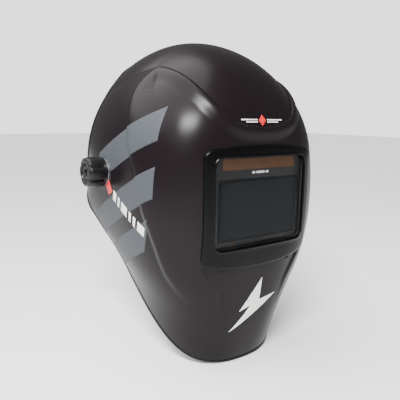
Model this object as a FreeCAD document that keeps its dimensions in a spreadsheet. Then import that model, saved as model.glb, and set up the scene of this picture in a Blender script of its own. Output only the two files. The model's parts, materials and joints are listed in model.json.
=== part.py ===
import FreeCAD, Part
import math
import os
import Sketcher

# Welding helmet: a flip-up moulded shell carrying an auto-darkening filter, on an adjustable headgear.
# Millimetres. The origin is the middle of the pivot axis, the wearer faces -Y and +Z is up.

V = FreeCAD.Vector
doc = FreeCAD.newDocument("welding_helmet")

# ---------------------------------------------------------------- driving dimensions
DIMENSIONS = {
    # shell
    "wall": 2.6, "window_width": 119.4, "window_height": 92.0, "window_centre_z": -24.0,
    "window_corner": 9.0, "collar_wall": 3.8, "bezel_stand": 3.5,
    "bezel_width": 144.0, "bezel_height": 126.0, "bezel_corner": 22.0, "bezel_centre_z": -29.0,
    # lens and cartridge
    "lens_thick": 1.0, "lens_margin": 2.3, "gasket_thick": 1.5,
    "cell_width": 132.0, "cell_height": 113.0, "cell_front": -113.5, "cell_back": -96.5,
    "view_width": 104.0, "view_height": 60.0, "view_centre_z": -32.0,
    "dial_radius": 6.5, "dial_height": 6.0, "drawer_width": 25.0, "coin_radius": 5.5, "coin_height": 2.0,
    "screw_radius": 1.6, "screw_head": 3.2,
    # pivot
    "journal_radius": 6.0, "thread_radius": 4.0, "running_gap": 0.05, "bolt_head": 16.0,
    "arm_inside": 83.0, "arm_thick": 3.0, "arm_width": 28.0, "spacer_radius": 10.5,
    "stop_inside": 111.7, "stop_thick": 2.0, "boss_inside": 114.2, "boss_outside": 119.5, "boss_radius": 16.0,
    "washer_inside": 119.85, "washer_thick": 1.4, "knob_inside": 121.6, "knob_height": 20.4,
    "knob_radius": 16.8, "knob_lobes": 6.0, "nut_radius": 7.5, "nut_height": 6.0,
    # headgear
    "band_half_width": 80.0, "band_half_length": 92.0, "band_thick": 2.4, "band_height": 26.0,
    "band_centre_y": 28.0, "band_centre_z": 24.0, "front_tilt": 12.0, "rear_tilt": 24.0,
    "pad_thick": 6.5, "crown_rise": 94.0, "crown_width": 18.0, "crown_thick": 1.8,
    "housing_width": 70.0, "housing_height": 31.0, "housing_depth": 14.0,
    "ratchet_radius": 21.0, "ratchet_height": 11.0, "pinion_pitch": 6.0, "rack_length": 58.0,
    "rivet_radius": 2.2,
}

sheet = doc.addObject("Spreadsheet::Sheet", "Sizes")
for row, (alias, number) in enumerate(DIMENSIONS.items(), start=1):
    sheet.set("A%d" % row, alias)
    sheet.set("B%d" % row, str(number))
    sheet.setAlias("B%d" % row, alias)
doc.recompute()


def size(alias):
    return float(sheet.get(alias))


NODES = []          # every sub-part, in the order it is made


def keep(obj, label):
    """Give a sub-part its label and list it for export."""
    obj.Label = label
    NODES.append(obj)
    return obj


# ---------------------------------------------------------------- small builders
def new_body(label):
    return doc.addObject("PartDesign::Body", label + "_body")


def origin_plane(body, role="XY_Plane"):
    for feature in body.Origin.OriginFeatures:
        if feature.Role == role:
            return feature
    raise RuntimeError("no plane " + role)


def new_sketch(body, name, lift=0.0, role="XY_Plane"):
    sketch = body.newObject("Sketcher::SketchObject", name)
    sketch.AttachmentSupport = [(origin_plane(body, role), "")]
    sketch.MapMode = "FlatFace"
    if isinstance(lift, str):
        sketch.setExpression("AttachmentOffset.Base.z", lift)
    else:
        sketch.AttachmentOffset = FreeCAD.Placement(V(0, 0, lift), FreeCAD.Rotation())
    return sketch


def add_circle(sketch, radius, x=0.0, y=0.0):
    """A circle whose radius is an expression or a number."""
    index = sketch.addGeometry(Part.Circle(V(x, y, 0), V(0, 0, 1), 1.0), False)
    if x == 0.0 and y == 0.0:
        sketch.addConstraint(Sketcher.Constraint("Coincident", index, 3, -1, 1))
    else:
        sketch.addConstraint(Sketcher.Constraint("DistanceX", -1, 1, index, 3, x))
        sketch.addConstraint(Sketcher.Constraint("DistanceY", -1, 1, index, 3, y))
    number = sketch.addConstraint(Sketcher.Constraint("Radius", index, 1.0))
    if isinstance(radius, str):
        sketch.setExpression("Constraints[%d]" % number, radius)
    else:
        sketch.setDatum(number, FreeCAD.Units.Quantity(radius))
    return index


def add_rectangle(sketch, width, height, x=0.0, y=0.0):
    """A rectangle centred at x, y; width and height are expressions or numbers."""
    first = sketch.GeometryCount
    a, b = 10.0, 6.0
    corners = [V(x - a, y - b, 0), V(x + a, y - b, 0), V(x + a, y + b, 0), V(x - a, y + b, 0)]
    for i in range(4):
        sketch.addGeometry(Part.LineSegment(corners[i], corners[(i + 1) % 4]), False)
    for i in range(4):
        sketch.addConstraint(Sketcher.Constraint("Coincident", first + i, 2, first + (i + 1) % 4, 1))
    for i in (0, 2):
        sketch.addConstraint(Sketcher.Constraint("Horizontal", first + i))
        sketch.addConstraint(Sketcher.Constraint("Vertical", first + i + 1))
    centre = sketch.addGeometry(Part.Point(V(x, y, 0)), True)
    sketch.addConstraint(Sketcher.Constraint("Symmetric", first, 1, first + 1, 2, centre, 1))
    if x == 0.0 and y == 0.0:
        sketch.addConstraint(Sketcher.Constraint("Coincident", centre, 1, -1, 1))
    else:
        sketch.addConstraint(Sketcher.Constraint("DistanceX", -1, 1, centre, 1, x))
        sketch.addConstraint(Sketcher.Constraint("DistanceY", -1, 1, centre, 1, y))
    for kind, end_a, end_b, value in (("DistanceX", (first, 1), (first, 2), width),
                                      ("DistanceY", (first + 1, 1), (first + 1, 2), height)):
        number = sketch.addConstraint(Sketcher.Constraint(kind, *end_a, *end_b, 2 * a))
        if isinstance(value, str):
            sketch.setExpression("Constraints[%d]" % number, value)
        else:
            sketch.setDatum(number, FreeCAD.Units.Quantity(value))


def set_value(feature, prop, value):
    if isinstance(value, str):
        feature.setExpression(prop, value)
    else:
        setattr(feature, prop, value)


def pad(body, name, draw, length, lift=0.0):
    """Pad a sketch that draw(sketch) fills in, upwards from the lift."""
    sketch = new_sketch(body, name + "_sketch", lift)
    draw(sketch)
    feature = body.newObject("PartDesign::Pad", name)
    feature.Profile = sketch
    set_value(feature, "Length", length)
    doc.recompute()
    return feature


def pocket(body, name, draw, length, lift=0.0, upward=False):
    """Cut a sketch downwards from the lift, or upwards from it, and prove that it cut."""
    before = body.Shape.Volume
    sketch = new_sketch(body, name + "_sketch", lift)
    draw(sketch)
    feature = body.newObject("PartDesign::Pocket", name)
    feature.Profile = sketch
    set_value(feature, "Length", length)
    feature.Reversed = upward
    doc.recompute()
    if body.Shape.Volume > before - 0.01:
        raise RuntimeError("pocket %s cuts nothing" % name)
    return feature


def at(x=0.0, y=0.0, z=0.0, axis=(0, 0, 1), angle=0.0):
    return FreeCAD.Placement(V(x, y, z), FreeCAD.Rotation(V(*axis), angle))


def side_placement(side, inside):
    """Local +Z points away from the head along X, starting at the distance named."""
    return at(side * inside, 0, 0, (0, 1, 0), 90.0 * side)


SIDES = (("right", -1), ("left", 1))


# ---------------------------------------------------------------- shell surface
# The shell's sections lie in planes that fan about an axis along X near its lower rear edge.
# Each section is half a superellipse: reach R at the middle, half width W, exponent N, standing on
# straight-backed side walls that start at the radius C.
FAN_Y, FAN_Z = 85.0, -60.0
MASK_STATIONS = [   # fan angle, reach, half width, exponent, side wall radius
    (-42, 247.4, 86, 2.5, 95), (-30, 228.3, 96, 2.5, 90), (-15, 215.8, 108, 3.0, 85),
    (0, 213.0, 114, 3.6, 80), (10, 216.3, 117, 3.7, 80), (25, 233.8, 119, 3.3, 80),
    (40, 244.1, 119, 2.7, 80), (60, 224.0, 115, 2.2, 75), (75, 202.3, 110, 2.1, 70), (92, 180.9, 105, 2.1, 60)]
DOME_STATIONS = [   # fan angle, reach, half width of the crown dome
    (20, 215, 200), (33, 244.3, 197), (40, 247.5, 161), (45, 246.9, 144.6), (50, 243.4, 132.7),
    (56, 238, 120.8), (62, 230.9, 116.2), (70, 220.1, 112.7), (80, 205.6, 108.9), (92, 188, 104.8)]
DOME_BASE = 60.0            # radius at which the dome's ellipse is widest
INNER_RADIUS = 20.0         # the fan's sections stop here
WALL_BULGE = 190.0          # how slowly the side walls draw in towards the fan axis
FAN_ANGLES = [-42, -36, -30, -22, -15, -8, 0, 8, 16, 22, 28, 34, 40, 46, 52, 58, 64, 70, 76, 84, 92]


def monotone(xs, ys, x):
    """Monotone cubic through the points, so that stations never overshoot."""
    count = len(xs)
    step = [xs[i + 1] - xs[i] for i in range(count - 1)]
    slope = [(ys[i + 1] - ys[i]) / step[i] for i in range(count - 1)]
    tangent = [slope[0]]
    for i in range(1, count - 1):
        if slope[i - 1] * slope[i] <= 0:
            tangent.append(0.0)
        else:
            a = 2 * step[i] + step[i - 1]
            b = step[i] + 2 * step[i - 1]
            tangent.append((a + b) / (a / slope[i - 1] + b / slope[i]))
    tangent.append(slope[-1])
    i = 0
    while i < count - 2 and x > xs[i + 1]:
        i += 1
    u = (x - xs[i]) / step[i]
    return ((1 + 2 * u) * (1 - u) ** 2 * ys[i] + u * (1 - u) ** 2 * step[i] * tangent[i]
            + u * u * (3 - 2 * u) * ys[i + 1] + u * u * (u - 1) * step[i] * tangent[i + 1])


def station(table, column, angle):
    return monotone([row[0] for row in table], [row[column] for row in table], angle)


def section_profile(angle, grow):
    """Half of one section, from the fan axis side round to the middle: (x, radius) pairs."""
    reach, half, power, base = [station(MASK_STATIONS, column, angle) for column in (1, 2, 3, 4)]
    reach += grow
    half += grow
    dome = angle >= DOME_STATIONS[0][0]
    if dome:
        dome_reach = station(DOME_STATIONS, 1, angle) + grow
        dome_half = station(DOME_STATIONS, 2, angle) + grow
    points = []
    for k in range(20):
        radius = INNER_RADIUS + (base - INNER_RADIUS) * k / 20.0
        points.append((half * math.sqrt(1 - ((radius - base) / WALL_BULGE) ** 2), radius))
    for k in range(241):
        turn = math.radians(90 * (1 - k / 240.0))
        x = half * math.sin(turn) ** (2 / power)
        radius = base + (reach - base) * max(math.cos(turn), 0.0) ** (2 / power)
        if dome and x < dome_half:
            radius = max(radius, DOME_BASE + (dome_reach - DOME_BASE) * math.sqrt(1 - (x / dome_half) ** 2))
        points.append((x, radius))
    return points


def even_points(points, count):
    """Points spaced evenly along a polyline."""
    along = [0.0]
    for (x0, y0), (x1, y1) in zip(points, points[1:]):
        along.append(along[-1] + math.hypot(x1 - x0, y1 - y0))
    result = []
    j = 0
    for k in range(count + 1):
        target = along[-1] * k / count
        while j < len(along) - 2 and along[j + 1] < target:
            j += 1
        part = (target - along[j]) / (along[j + 1] - along[j])
        result.append(tuple(points[j][i] + part * (points[j + 1][i] - points[j][i]) for i in (0, 1)))
    return result


def section_wire(angle, grow):
    half = even_points(section_profile(angle, grow), 24)
    whole = half + [(-x, radius) for x, radius in reversed(half[:-1])]
    c, s = math.cos(math.radians(angle)), math.sin(math.radians(angle))
    points = [V(x, FAN_Y - radius * c, FAN_Z + radius * s) for x, radius in whole]
    arch = Part.BSplineCurve()
    arch.interpolate(points)
    return Part.Wire([arch.toShape(), Part.makeLine(points[-1], points[0])])


def shell_solid(grow):
    """The space inside the shell's outer face, grown or shrunk by a distance."""
    return Part.makeLoft([section_wire(angle, grow) for angle in FAN_ANGLES], True, False)


def spline_edge(points):
    curve = Part.BSplineCurve()
    curve.interpolate(points)
    return curve.toShape()


def extrude_x(wire, half):
    """A closed wire in the YZ plane, extruded both ways along X."""
    face = Part.Face(wire)
    face.translate(V(-half, 0, 0))
    return face.extrude(V(2 * half, 0, 0))


def rounded_block(width, height, corner, front, back, centre_z, centre_x=0.0):
    """A rounded rectangle in XZ, extruded along Y from front to back."""
    block = Part.makeBox(width, back - front, height, V(centre_x - width / 2, front, centre_z - height / 2))
    upright = [e for e in block.Edges if abs(e.tangentAt(e.FirstParameter).y) > 0.9]
    return block.makeFillet(corner, upright)


def cylinder_x(radius, x0, x1, y=0.0, z=0.0):
    return Part.makeCylinder(radius, abs(x1 - x0), V(min(x0, x1), y, z), V(1, 0, 0))


def cylinder_y(radius, y0, y1, x=0.0, z=0.0):
    return Part.makeCylinder(radius, y1 - y0, V(x, y0, z), V(0, 1, 0))


def shape_node(label, shape, placement=None):
    """A sub-part whose shape is worked out here."""
    feature = doc.addObject("Part::Feature", label + "_shape")
    feature.Shape = shape
    if placement is not None:
        feature.Placement = placement
    return keep(feature, label)


# ---------------------------------------------------------------- shell
LOWER_TRIM = [(95, -8), (80, -18), (60, -43), (42, -62), (0, -111), (-28, -145), (-60, -181), (-82, -200),
              (-106, -209), (-150, -214)]
REAR_TRIM = [(78, -24), (76, 10), (73, 40), (68, 70), (62, 95), (60, 108), (75, 125), (86, 150)]
STOP_PIN_CIRCLE = 21.0
STOP_PIN_RADIUS = 2.5
STOP_ANGLES = (199.0, 86.0)      # from straight ahead, turning up over the head
BOSS_PLACES = [(x, z) for x in (-45.0, 45.0) for z in (-89.5, 41.5)]


def around_pivot(angle, radius):
    """A point in the YZ plane at an angle measured from straight ahead up over the head."""
    a = math.radians(angle)
    return -math.cos(a) * radius, math.sin(a) * radius


def lower_cutter():
    low = [V(0, y, z) for y, z in LOWER_TRIM]
    floor = [V(0, -150, -260), V(0, 95, -260)]
    wire = Part.Wire([spline_edge(low), Part.makeLine(low[-1], floor[0]), Part.makeLine(floor[0], floor[1]),
                      Part.makeLine(floor[1], low[0])])
    return extrude_x(wire, 160)


def rear_cutter():
    rear = [V(0, y, z) for y, z in REAR_TRIM]
    far = [V(0, 130, 150), V(0, 130, -24)]
    wire = Part.Wire([spline_edge(rear), Part.makeLine(rear[-1], far[0]), Part.makeLine(far[0], far[1]),
                      Part.makeLine(far[1], rear[0])])
    return extrude_x(wire, 160)


OUTER = shell_solid(0.0)
INNER = shell_solid(-size("wall"))
COLLAR_WIDTH = size("window_width") + 2 * size("collar_wall")
COLLAR_HEIGHT = size("window_height") + 2 * size("collar_wall")
COLLAR_CORNER = size("window_corner") + size("collar_wall")
WINDOW_Z = size("window_centre_z")


def make_shell():
    wall = OUTER.cut(INNER).cut(lower_cutter()).cut(rear_cutter())
    wall = wall.cut(rounded_block(COLLAR_WIDTH, COLLAR_HEIGHT, COLLAR_CORNER, -145, -100, WINDOW_Z))
    extras = []
    for _, side in SIDES:
        extras.append(cylinder_x(size("boss_radius"), side * size("boss_inside"), side * size("boss_outside")))
        for angle in STOP_ANGLES:
            y, z = around_pivot(angle, STOP_PIN_CIRCLE)
            extras.append(cylinder_x(STOP_PIN_RADIUS, side * (size("stop_inside") + 0.4), side * 117.0, y, z))
    for x, z in BOSS_PLACES:
        post = cylinder_y(5.0, -122.0, -113.0, x, z)
        extras.append(post.common(OUTER))
    wall = wall.fuse(extras)
    for _, side in SIDES:
        bore = size("journal_radius") + size("running_gap")
        wall = wall.cut(cylinder_x(bore, side * 105, side * 130))
    for x, z in BOSS_PLACES:
        wall = wall.cut(cylinder_y(size("screw_radius"), -118.0, -112.0, x, z))
    solids = sorted(wall.Solids, key=lambda solid: solid.Volume)
    return solids[-1]


shape_node("shell", make_shell())


def make_bezel():
    """Raised frame on the shell's face, with a collar through the wall that holds the lens."""
    outline = rounded_block(size("bezel_width"), size("bezel_height"), size("bezel_corner"), -150, -100,
                            size("bezel_centre_z"))
    flange = shell_solid(size("bezel_stand")).common(outline).cut(OUTER)
    collar = rounded_block(COLLAR_WIDTH, COLLAR_HEIGHT, COLLAR_CORNER, -129.5, -121.0, WINDOW_Z)
    frame = flange.fuse(collar)
    opening = rounded_block(size("window_width"), size("window_height"), size("window_corner"), -150, -100,
                            WINDOW_Z)
    margin = 2 * size("lens_margin")
    rebate = rounded_block(size("window_width") + margin, size("window_height") + margin,
                           size("window_corner") + size("lens_margin"), LENS_FRONT, -100, WINDOW_Z)
    frame = frame.cut(opening).cut(rebate)
    return sorted(frame.Solids, key=lambda solid: solid.Volume)[-1]


LENS_FRONT = -126.0
LENS_BACK = LENS_FRONT + size("lens_thick")
GASKET_BACK = LENS_BACK + size("gasket_thick")
shape_node("window_bezel", make_bezel())

# ---------------------------------------------------------------- lens, gasket and cartridge holder
lens_width = size("window_width") + 2 * size("lens_margin")
lens_height = size("window_height") + 2 * size("lens_margin")
lens_corner = size("window_corner") + size("lens_margin")
shape_node("cover_lens", rounded_block(lens_width, lens_height, lens_corner, LENS_FRONT, LENS_BACK, WINDOW_Z))

gasket = rounded_block(lens_width, lens_height, lens_corner, LENS_BACK, GASKET_BACK, WINDOW_Z)
gasket_hole = rounded_block(size("window_width") + 1, size("window_height") + 1, size("window_corner"),
                            LENS_BACK - 1, GASKET_BACK + 1, WINDOW_Z)
shape_node("lens_gasket", gasket.cut(gasket_hole))


def make_holder():
    """Frame behind the window: a snout that presses on the gasket, a tray and four screw lugs."""
    front, back = size("cell_front"), size("cell_back")
    snout = rounded_block(lens_width, lens_height, lens_corner, GASKET_BACK, front, WINDOW_Z)
    tray = rounded_block(size("cell_width") + 6, size("cell_height") + 6, 5.0, front, back - 2.0, WINDOW_Z)
    lugs = []
    for x, z in BOSS_PLACES:
        lugs.append(cylinder_y(5.5, LUG_FRONT, LUG_BACK, x, z))
        toward = 8.0 if z < WINDOW_Z else -8.0
        lugs.append(Part.makeBox(11, LUG_BACK - LUG_FRONT, 8.0, V(x - 5.5, LUG_FRONT, min(z, z + toward))))
    frame = snout.fuse([tray] + lugs)
    hole = rounded_block(size("window_width") + 1, size("window_height") + 1, size("window_corner"), -130, -90,
                         WINDOW_Z)
    seat = rounded_block(size("cell_width"), size("cell_height"), 3.0, front + SEAT_LIP, -80, WINDOW_Z)
    frame = frame.cut(hole).cut(seat)
    for x, z in BOSS_PLACES:
        frame = frame.cut(cylinder_y(size("screw_radius"), -118.0, -100.0, x, z))
    drawer_slots = Part.makeBox(2 * size("cell_width"), 5.4, DRAWER_LIFT + 0.6,
                                V(-size("cell_width"), -106.7, DRAWER_Z - DRAWER_LIFT / 2 - 0.3))
    return frame.cut(drawer_slots)


DRAWER_Z = -71.0            # middle height of the battery drawers
DRAWER_LIFT = 13.0          # height of a drawer's slot in the housing


LUG_FRONT, LUG_BACK = -113.0, -109.5
SEAT_LIP = 1.5
shape_node("cartridge_holder", make_holder())

screws = []
for x, z in BOSS_PLACES:
    shank = cylinder_y(size("screw_radius"), -117.0, LUG_BACK, x, z)
    head = cylinder_y(size("screw_head"), LUG_BACK, LUG_BACK + 2.2, x, z)
    slot = Part.makeBox(4.6, 1.2, 0.9, V(x - 2.3, LUG_BACK + 1.2, z - 0.45))
    screws.append(shank.fuse(head).cut(slot))
shape_node("holder_screws", Part.makeCompound(screws))

# ---------------------------------------------------------------- auto-darkening cartridge
CELL_FACE = size("cell_front") + SEAT_LIP
GLASS_FACE = -122.8         # the cartridge's raised front, which reaches through the holder's snout
CELL_BACK = size("cell_back")
VIEW_Z = size("view_centre_z")
SOLAR_Z, SOLAR_WIDTH, SOLAR_HEIGHT = 15.0, 98.0, 11.0
SENSOR_PLACES = [(-34.0, -67.0), (34.0, -67.0)]
SENSOR_RADIUS = 1.8
DIAL_PLACES = {"shade_dial": (0.0, 21.0), "sensitivity_dial": (-30.0, 21.0), "delay_dial": (30.0, 21.0)}
SWITCH_PLACE = (-50.0, 21.0)
BUTTON_PLACE = (50.0, 21.0)
DIAL_AXLE = 2.5


def make_housing():
    """Cartridge body: window through it, recesses for the solar strip, sensors, dials and drawers."""
    body = rounded_block(size("cell_width"), size("cell_height"), 3.0, CELL_FACE, CELL_BACK, WINDOW_Z)
    body = body.fuse(rounded_block(size("window_width") - 1.4, size("window_height") - 1.4,
                                   size("window_corner") - 1.0, GLASS_FACE, CELL_FACE, WINDOW_Z))
    view = rounded_block(size("view_width"), size("view_height"), 2.0, -130, -80, VIEW_Z)
    glass_seat = rounded_block(size("view_width") + 4, size("view_height") + 4, 3.0, GLASS_FACE,
                               GLASS_FACE + 3.0, VIEW_Z)
    back_seat = rounded_block(size("view_width") + 4, size("view_height") + 4, 3.0, CELL_BACK - 1.2, -80, VIEW_Z)
    solar_seat = rounded_block(SOLAR_WIDTH, SOLAR_HEIGHT, 1.5, GLASS_FACE, GLASS_FACE + 2.0, SOLAR_Z)
    body = body.cut(view).cut(glass_seat).cut(back_seat).cut(solar_seat)
    for x, z in SENSOR_PLACES:
        body = body.cut(cylinder_y(SENSOR_RADIUS, GLASS_FACE, GLASS_FACE + 2.5, x, z))
    for x, z in DIAL_PLACES.values():
        body = body.cut(cylinder_y(DIAL_AXLE + size("running_gap"), CELL_BACK - 6.0, -80, x, z))
    body = body.cut(rounded_block(14.0, 5.0, 1.0, CELL_BACK - 5.0, -80, SWITCH_PLACE[1], SWITCH_PLACE[0]))
    body = body.cut(cylinder_y(3.3, CELL_BACK - 7.0, -80, BUTTON_PLACE[0], BUTTON_PLACE[1]))
    for side in (-1, 1):
        x0 = 66.0 - size("drawer_width") if side > 0 else -66.5
        body = body.cut(Part.makeBox(size("drawer_width") + 0.5, 4.6, DRAWER_LIFT, V(x0, -106.3, DRAWER_Z - 6.5)))
    return body


shape_node("filter_housing", make_housing())
shape_node("filter_glass", rounded_block(size("view_width") + 4, size("view_height") + 4, 3.0, GLASS_FACE,
                                         GLASS_FACE + 3.0, VIEW_Z))
shape_node("inner_lens", rounded_block(size("view_width") + 4, size("view_height") + 4, 3.0, CELL_BACK - 1.2,
                                       CELL_BACK, VIEW_Z))
shape_node("solar_strip", rounded_block(SOLAR_WIDTH, SOLAR_HEIGHT, 1.5, GLASS_FACE, GLASS_FACE + 2.0,
                                        SOLAR_Z))
shape_node("arc_sensors", Part.makeCompound([cylinder_y(SENSOR_RADIUS, GLASS_FACE, GLASS_FACE + 2.5, x, z)
                                             for x, z in SENSOR_PLACES]))

for name, (x, z) in DIAL_PLACES.items():
    dial = new_body(name)
    pad(dial, name + "_axle", lambda s: add_circle(s, DIAL_AXLE), 5.8, -5.5)
    pad(dial, name + "_disc", lambda s: add_circle(s, "Sizes.dial_radius"), "Sizes.dial_height", 0.3)
    pocket(dial, name + "_groove", lambda s: add_rectangle(s, 1.6, 11.0), 0.8, 0.3 + size("dial_height"))
    tooth = pocket(dial, name + "_notch", lambda s: add_circle(s, 0.9, 0.0, size("dial_radius") + 0.4),
                   "Sizes.dial_height", 0.3 + size("dial_height"))
    ring = dial.newObject("PartDesign::PolarPattern", name + "_notches")
    ring.Originals = [tooth]
    ring.Axis = (tooth.Profile[0], ["N_Axis"])
    ring.Angle = 360
    ring.Occurrences = 14
    dial.Tip = ring
    dial.Placement = at(x, CELL_BACK, z, (1, 0, 0), -90)
    keep(dial, name)

slider = new_body("grind_switch")
pad(slider, "switch_foot", lambda s: add_rectangle(s, 8.0, 4.4), 5.0, -4.6)
pad(slider, "switch_grip", lambda s: add_rectangle(s, 5.0, 4.4), 2.6, 0.4)
slider.Placement = at(SWITCH_PLACE[0] - 2.6, CELL_BACK, SWITCH_PLACE[1], (1, 0, 0), -90)
keep(slider, "grind_switch")

button = new_body("test_button")
pad(button, "button_stem", lambda s: add_circle(s, 3.0), 6.4, -4.6)
button.Placement = at(BUTTON_PLACE[0], CELL_BACK, BUTTON_PLACE[1], (1, 0, 0), -90)
keep(button, "test_button")

for label, side in SIDES:
    drawer = new_body("battery_drawer_" + label)
    pad(drawer, "tray_" + label, lambda s: add_rectangle(s, size("drawer_width") - 0.6, DRAWER_LIFT - 0.8), 3.9)
    pocket(drawer, "coin_seat_" + label, lambda s: add_circle(s, size("coin_radius") + 0.1), 2.2, 3.9)
    drawer.Placement = at(side * (66.0 - size("drawer_width") / 2), -102.05, DRAWER_Z, (1, 0, 0), 90)
    keep(drawer, "battery_drawer_" + label)
    coin = doc.addObject("Part::Cylinder", "coin_" + label)
    coin.setExpression("Radius", "Sizes.coin_radius")
    coin.setExpression("Height", "Sizes.coin_height")
    coin.Placement = at(side * (66.0 - size("drawer_width") / 2), -103.75, DRAWER_Z, (1, 0, 0), 90)
    keep(coin, "battery_cell_" + label)

# ---------------------------------------------------------------- retainer bail
BAIL_Y, BAIL_Z = -94.0, 38.0


def make_bail():
    """Wire frame that swings on the holder's upper edge and holds the cartridge in its tray."""
    radius = 1.2
    low = WINDOW_Z - 61.0
    pieces = [cylinder_x(radius, -60.0, 60.0, BAIL_Y, BAIL_Z), cylinder_x(radius, -60.0, 60.0, BAIL_Y, low)]
    for x in (-60.0, 60.0):
        pieces.append(Part.makeCylinder(radius, BAIL_Z - low, V(x, BAIL_Y, low), V(0, 0, 1)))
        for z in (low, BAIL_Z):
            pieces.append(Part.makeSphere(radius, V(x, BAIL_Y, z)))
    return pieces[0].fuse(pieces[1:])


shape_node("retainer_bail", make_bail())


def make_hooks():
    """Two eyes for the bail's hinge side, standing on the holder's upper edge."""
    hooks = []
    for x in (-40.0, 40.0):
        eye = cylinder_x(3.0, x - 3.0, x + 3.0, BAIL_Y, BAIL_Z)
        stem = Part.makeBox(6.0, 8.0, 3.0, V(x - 3.0, -102.0, 35.5))
        web = Part.makeBox(6.0, 5.0, 4.0, V(x - 3.0, -99.0, 35.5))
        hook = eye.fuse([stem, web]).cut(cylinder_x(1.25, x - 4.0, x + 4.0, BAIL_Y, BAIL_Z))
        hooks.append(hook)
    return Part.makeCompound(hooks)


shape_node("bail_hooks", make_hooks())

# ---------------------------------------------------------------- pivots and tension knobs
BOLT_JOURNAL_END = size("washer_inside") + size("washer_thick")

for label, side in SIDES:
    bolt = new_body("pivot_bolt_" + label)
    pad(bolt, "head_" + label, lambda s: add_rectangle(s, "Sizes.bolt_head", "Sizes.bolt_head"), 3.2, -3.2)
    pad(bolt, "journal_" + label, lambda s: add_circle(s, "Sizes.journal_radius"),
        BOLT_JOURNAL_END - size("arm_inside"))
    pad(bolt, "thread_" + label, lambda s: add_circle(s, "Sizes.thread_radius"), 17.0,
        BOLT_JOURNAL_END - size("arm_inside"))
    bolt.Placement = side_placement(side, size("arm_inside"))
    keep(bolt, "pivot_bolt_" + label)

    spacer = new_body("pivot_spacer_" + label)
    spacer_length = size("stop_inside") - size("arm_inside") - size("arm_thick")
    pad(spacer, "tube_" + label, lambda s: (add_circle(s, "Sizes.spacer_radius"),
                                           add_circle(s, "Sizes.journal_radius")), spacer_length)
    spacer.Placement = side_placement(side, size("arm_inside") + size("arm_thick"))
    keep(spacer, "pivot_spacer_" + label)

    plate = new_body("stop_plate_" + label)
    pad(plate, "disc_" + label, lambda s: add_circle(s, 15.0), "Sizes.stop_thick")
    # local +X turns to world -Z on the left and +Z on the right, so the lobe lies along local Y
    pad(plate, "lobe_" + label, lambda s: add_rectangle(s, 8.0, 12.0, 0.0, 17.5), "Sizes.stop_thick")
    pocket(plate, "bore_" + label, lambda s: add_circle(s, "Sizes.journal_radius"), 5.0, size("stop_thick"))
    plate.Placement = side_placement(side, size("stop_inside"))
    keep(plate, "stop_plate_" + label)

    washer = new_body("thrust_washer_" + label)
    pad(washer, "ring_" + label, lambda s: (add_circle(s, 15.0), add_circle(s, "Sizes.journal_radius")),
        "Sizes.washer_thick")
    washer.Placement = side_placement(side, size("washer_inside"))
    keep(washer, "thrust_washer_" + label)

    knob = new_body("tension_knob_" + label)
    height = size("knob_height")
    pad(knob, "skirt_" + label, lambda s: add_circle(s, "Sizes.knob_radius"), "Sizes.knob_height")
    pocket(knob, "well_" + label, lambda s: add_circle(s, 11.0), 2.2, height)
    flute = pocket(knob, "flute_" + label,
                   lambda s: add_circle(s, 4.4, 0.0, size("knob_radius") + 2.4), 15.0, height)
    ring = knob.newObject("PartDesign::PolarPattern", "flutes_" + label)
    ring.Originals = [flute]
    ring.Axis = (flute.Profile[0], ["N_Axis"])
    ring.Angle = 360
    ring.setExpression("Occurrences", "Sizes.knob_lobes")
    knob.Tip = ring
    doc.recompute()
    pocket(knob, "thread_bore_" + label, lambda s: add_circle(s, size("thread_radius") + size("running_gap")),
           30.0, height)
    pocket(knob, "nut_seat_" + label, lambda s: add_circle(s, "Sizes.nut_radius"), "Sizes.nut_height", 0.0, True)
    knob.Placement = side_placement(side, size("knob_inside"))
    keep(knob, "tension_knob_" + label)

    nut = new_body("knob_nut_" + label)
    pad(nut, "brass_" + label, lambda s: (add_circle(s, "Sizes.nut_radius"),
                                         add_circle(s, size("thread_radius") + size("running_gap"))),
        "Sizes.nut_height")
    nut.Placement = side_placement(side, size("knob_inside"))
    keep(nut, "knob_nut_" + label)

# ---------------------------------------------------------------- headgear bands
BAND_POWER_FRONT = 2.0
BAND_POWER_REAR = 2.6
FRONT_FRAME = at(0, size("band_centre_y"), size("band_centre_z"), (1, 0, 0), -size("front_tilt"))
REAR_FRAME = at(0, size("band_centre_y"), size("band_centre_z"), (1, 0, 0), -size("rear_tilt"))


def band_arc(grow, power, start, stop, forward):
    """Points of a superelliptic band from one angle to another; 0 is the left side, 90 the middle."""
    a = size("band_half_width") + grow
    b = size("band_half_length") + grow
    points = []
    for k in range(25):
        turn = math.radians(start + (stop - start) * k / 24.0)
        c, s = math.cos(turn), math.sin(turn)
        x = a * math.copysign(abs(c) ** (2 / power), c)
        y = b * abs(s) ** (2 / power)
        points.append(V(x, -y if forward else y, 0))
    return points


def band_solid(inside, outside, power, start, stop, low, high, forward):
    """A strip of a band between two growths and two heights."""
    inner = band_arc(inside, power, start, stop, forward)
    outer = band_arc(outside, power, start, stop, forward)
    wire = Part.Wire([spline_edge(inner), Part.makeLine(inner[-1], outer[-1]),
                      spline_edge(list(reversed(outer))), Part.makeLine(outer[0], inner[0])])
    face = Part.Face(wire)
    face.translate(V(0, 0, low))
    return face.extrude(V(0, 0, high - low))


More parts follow.
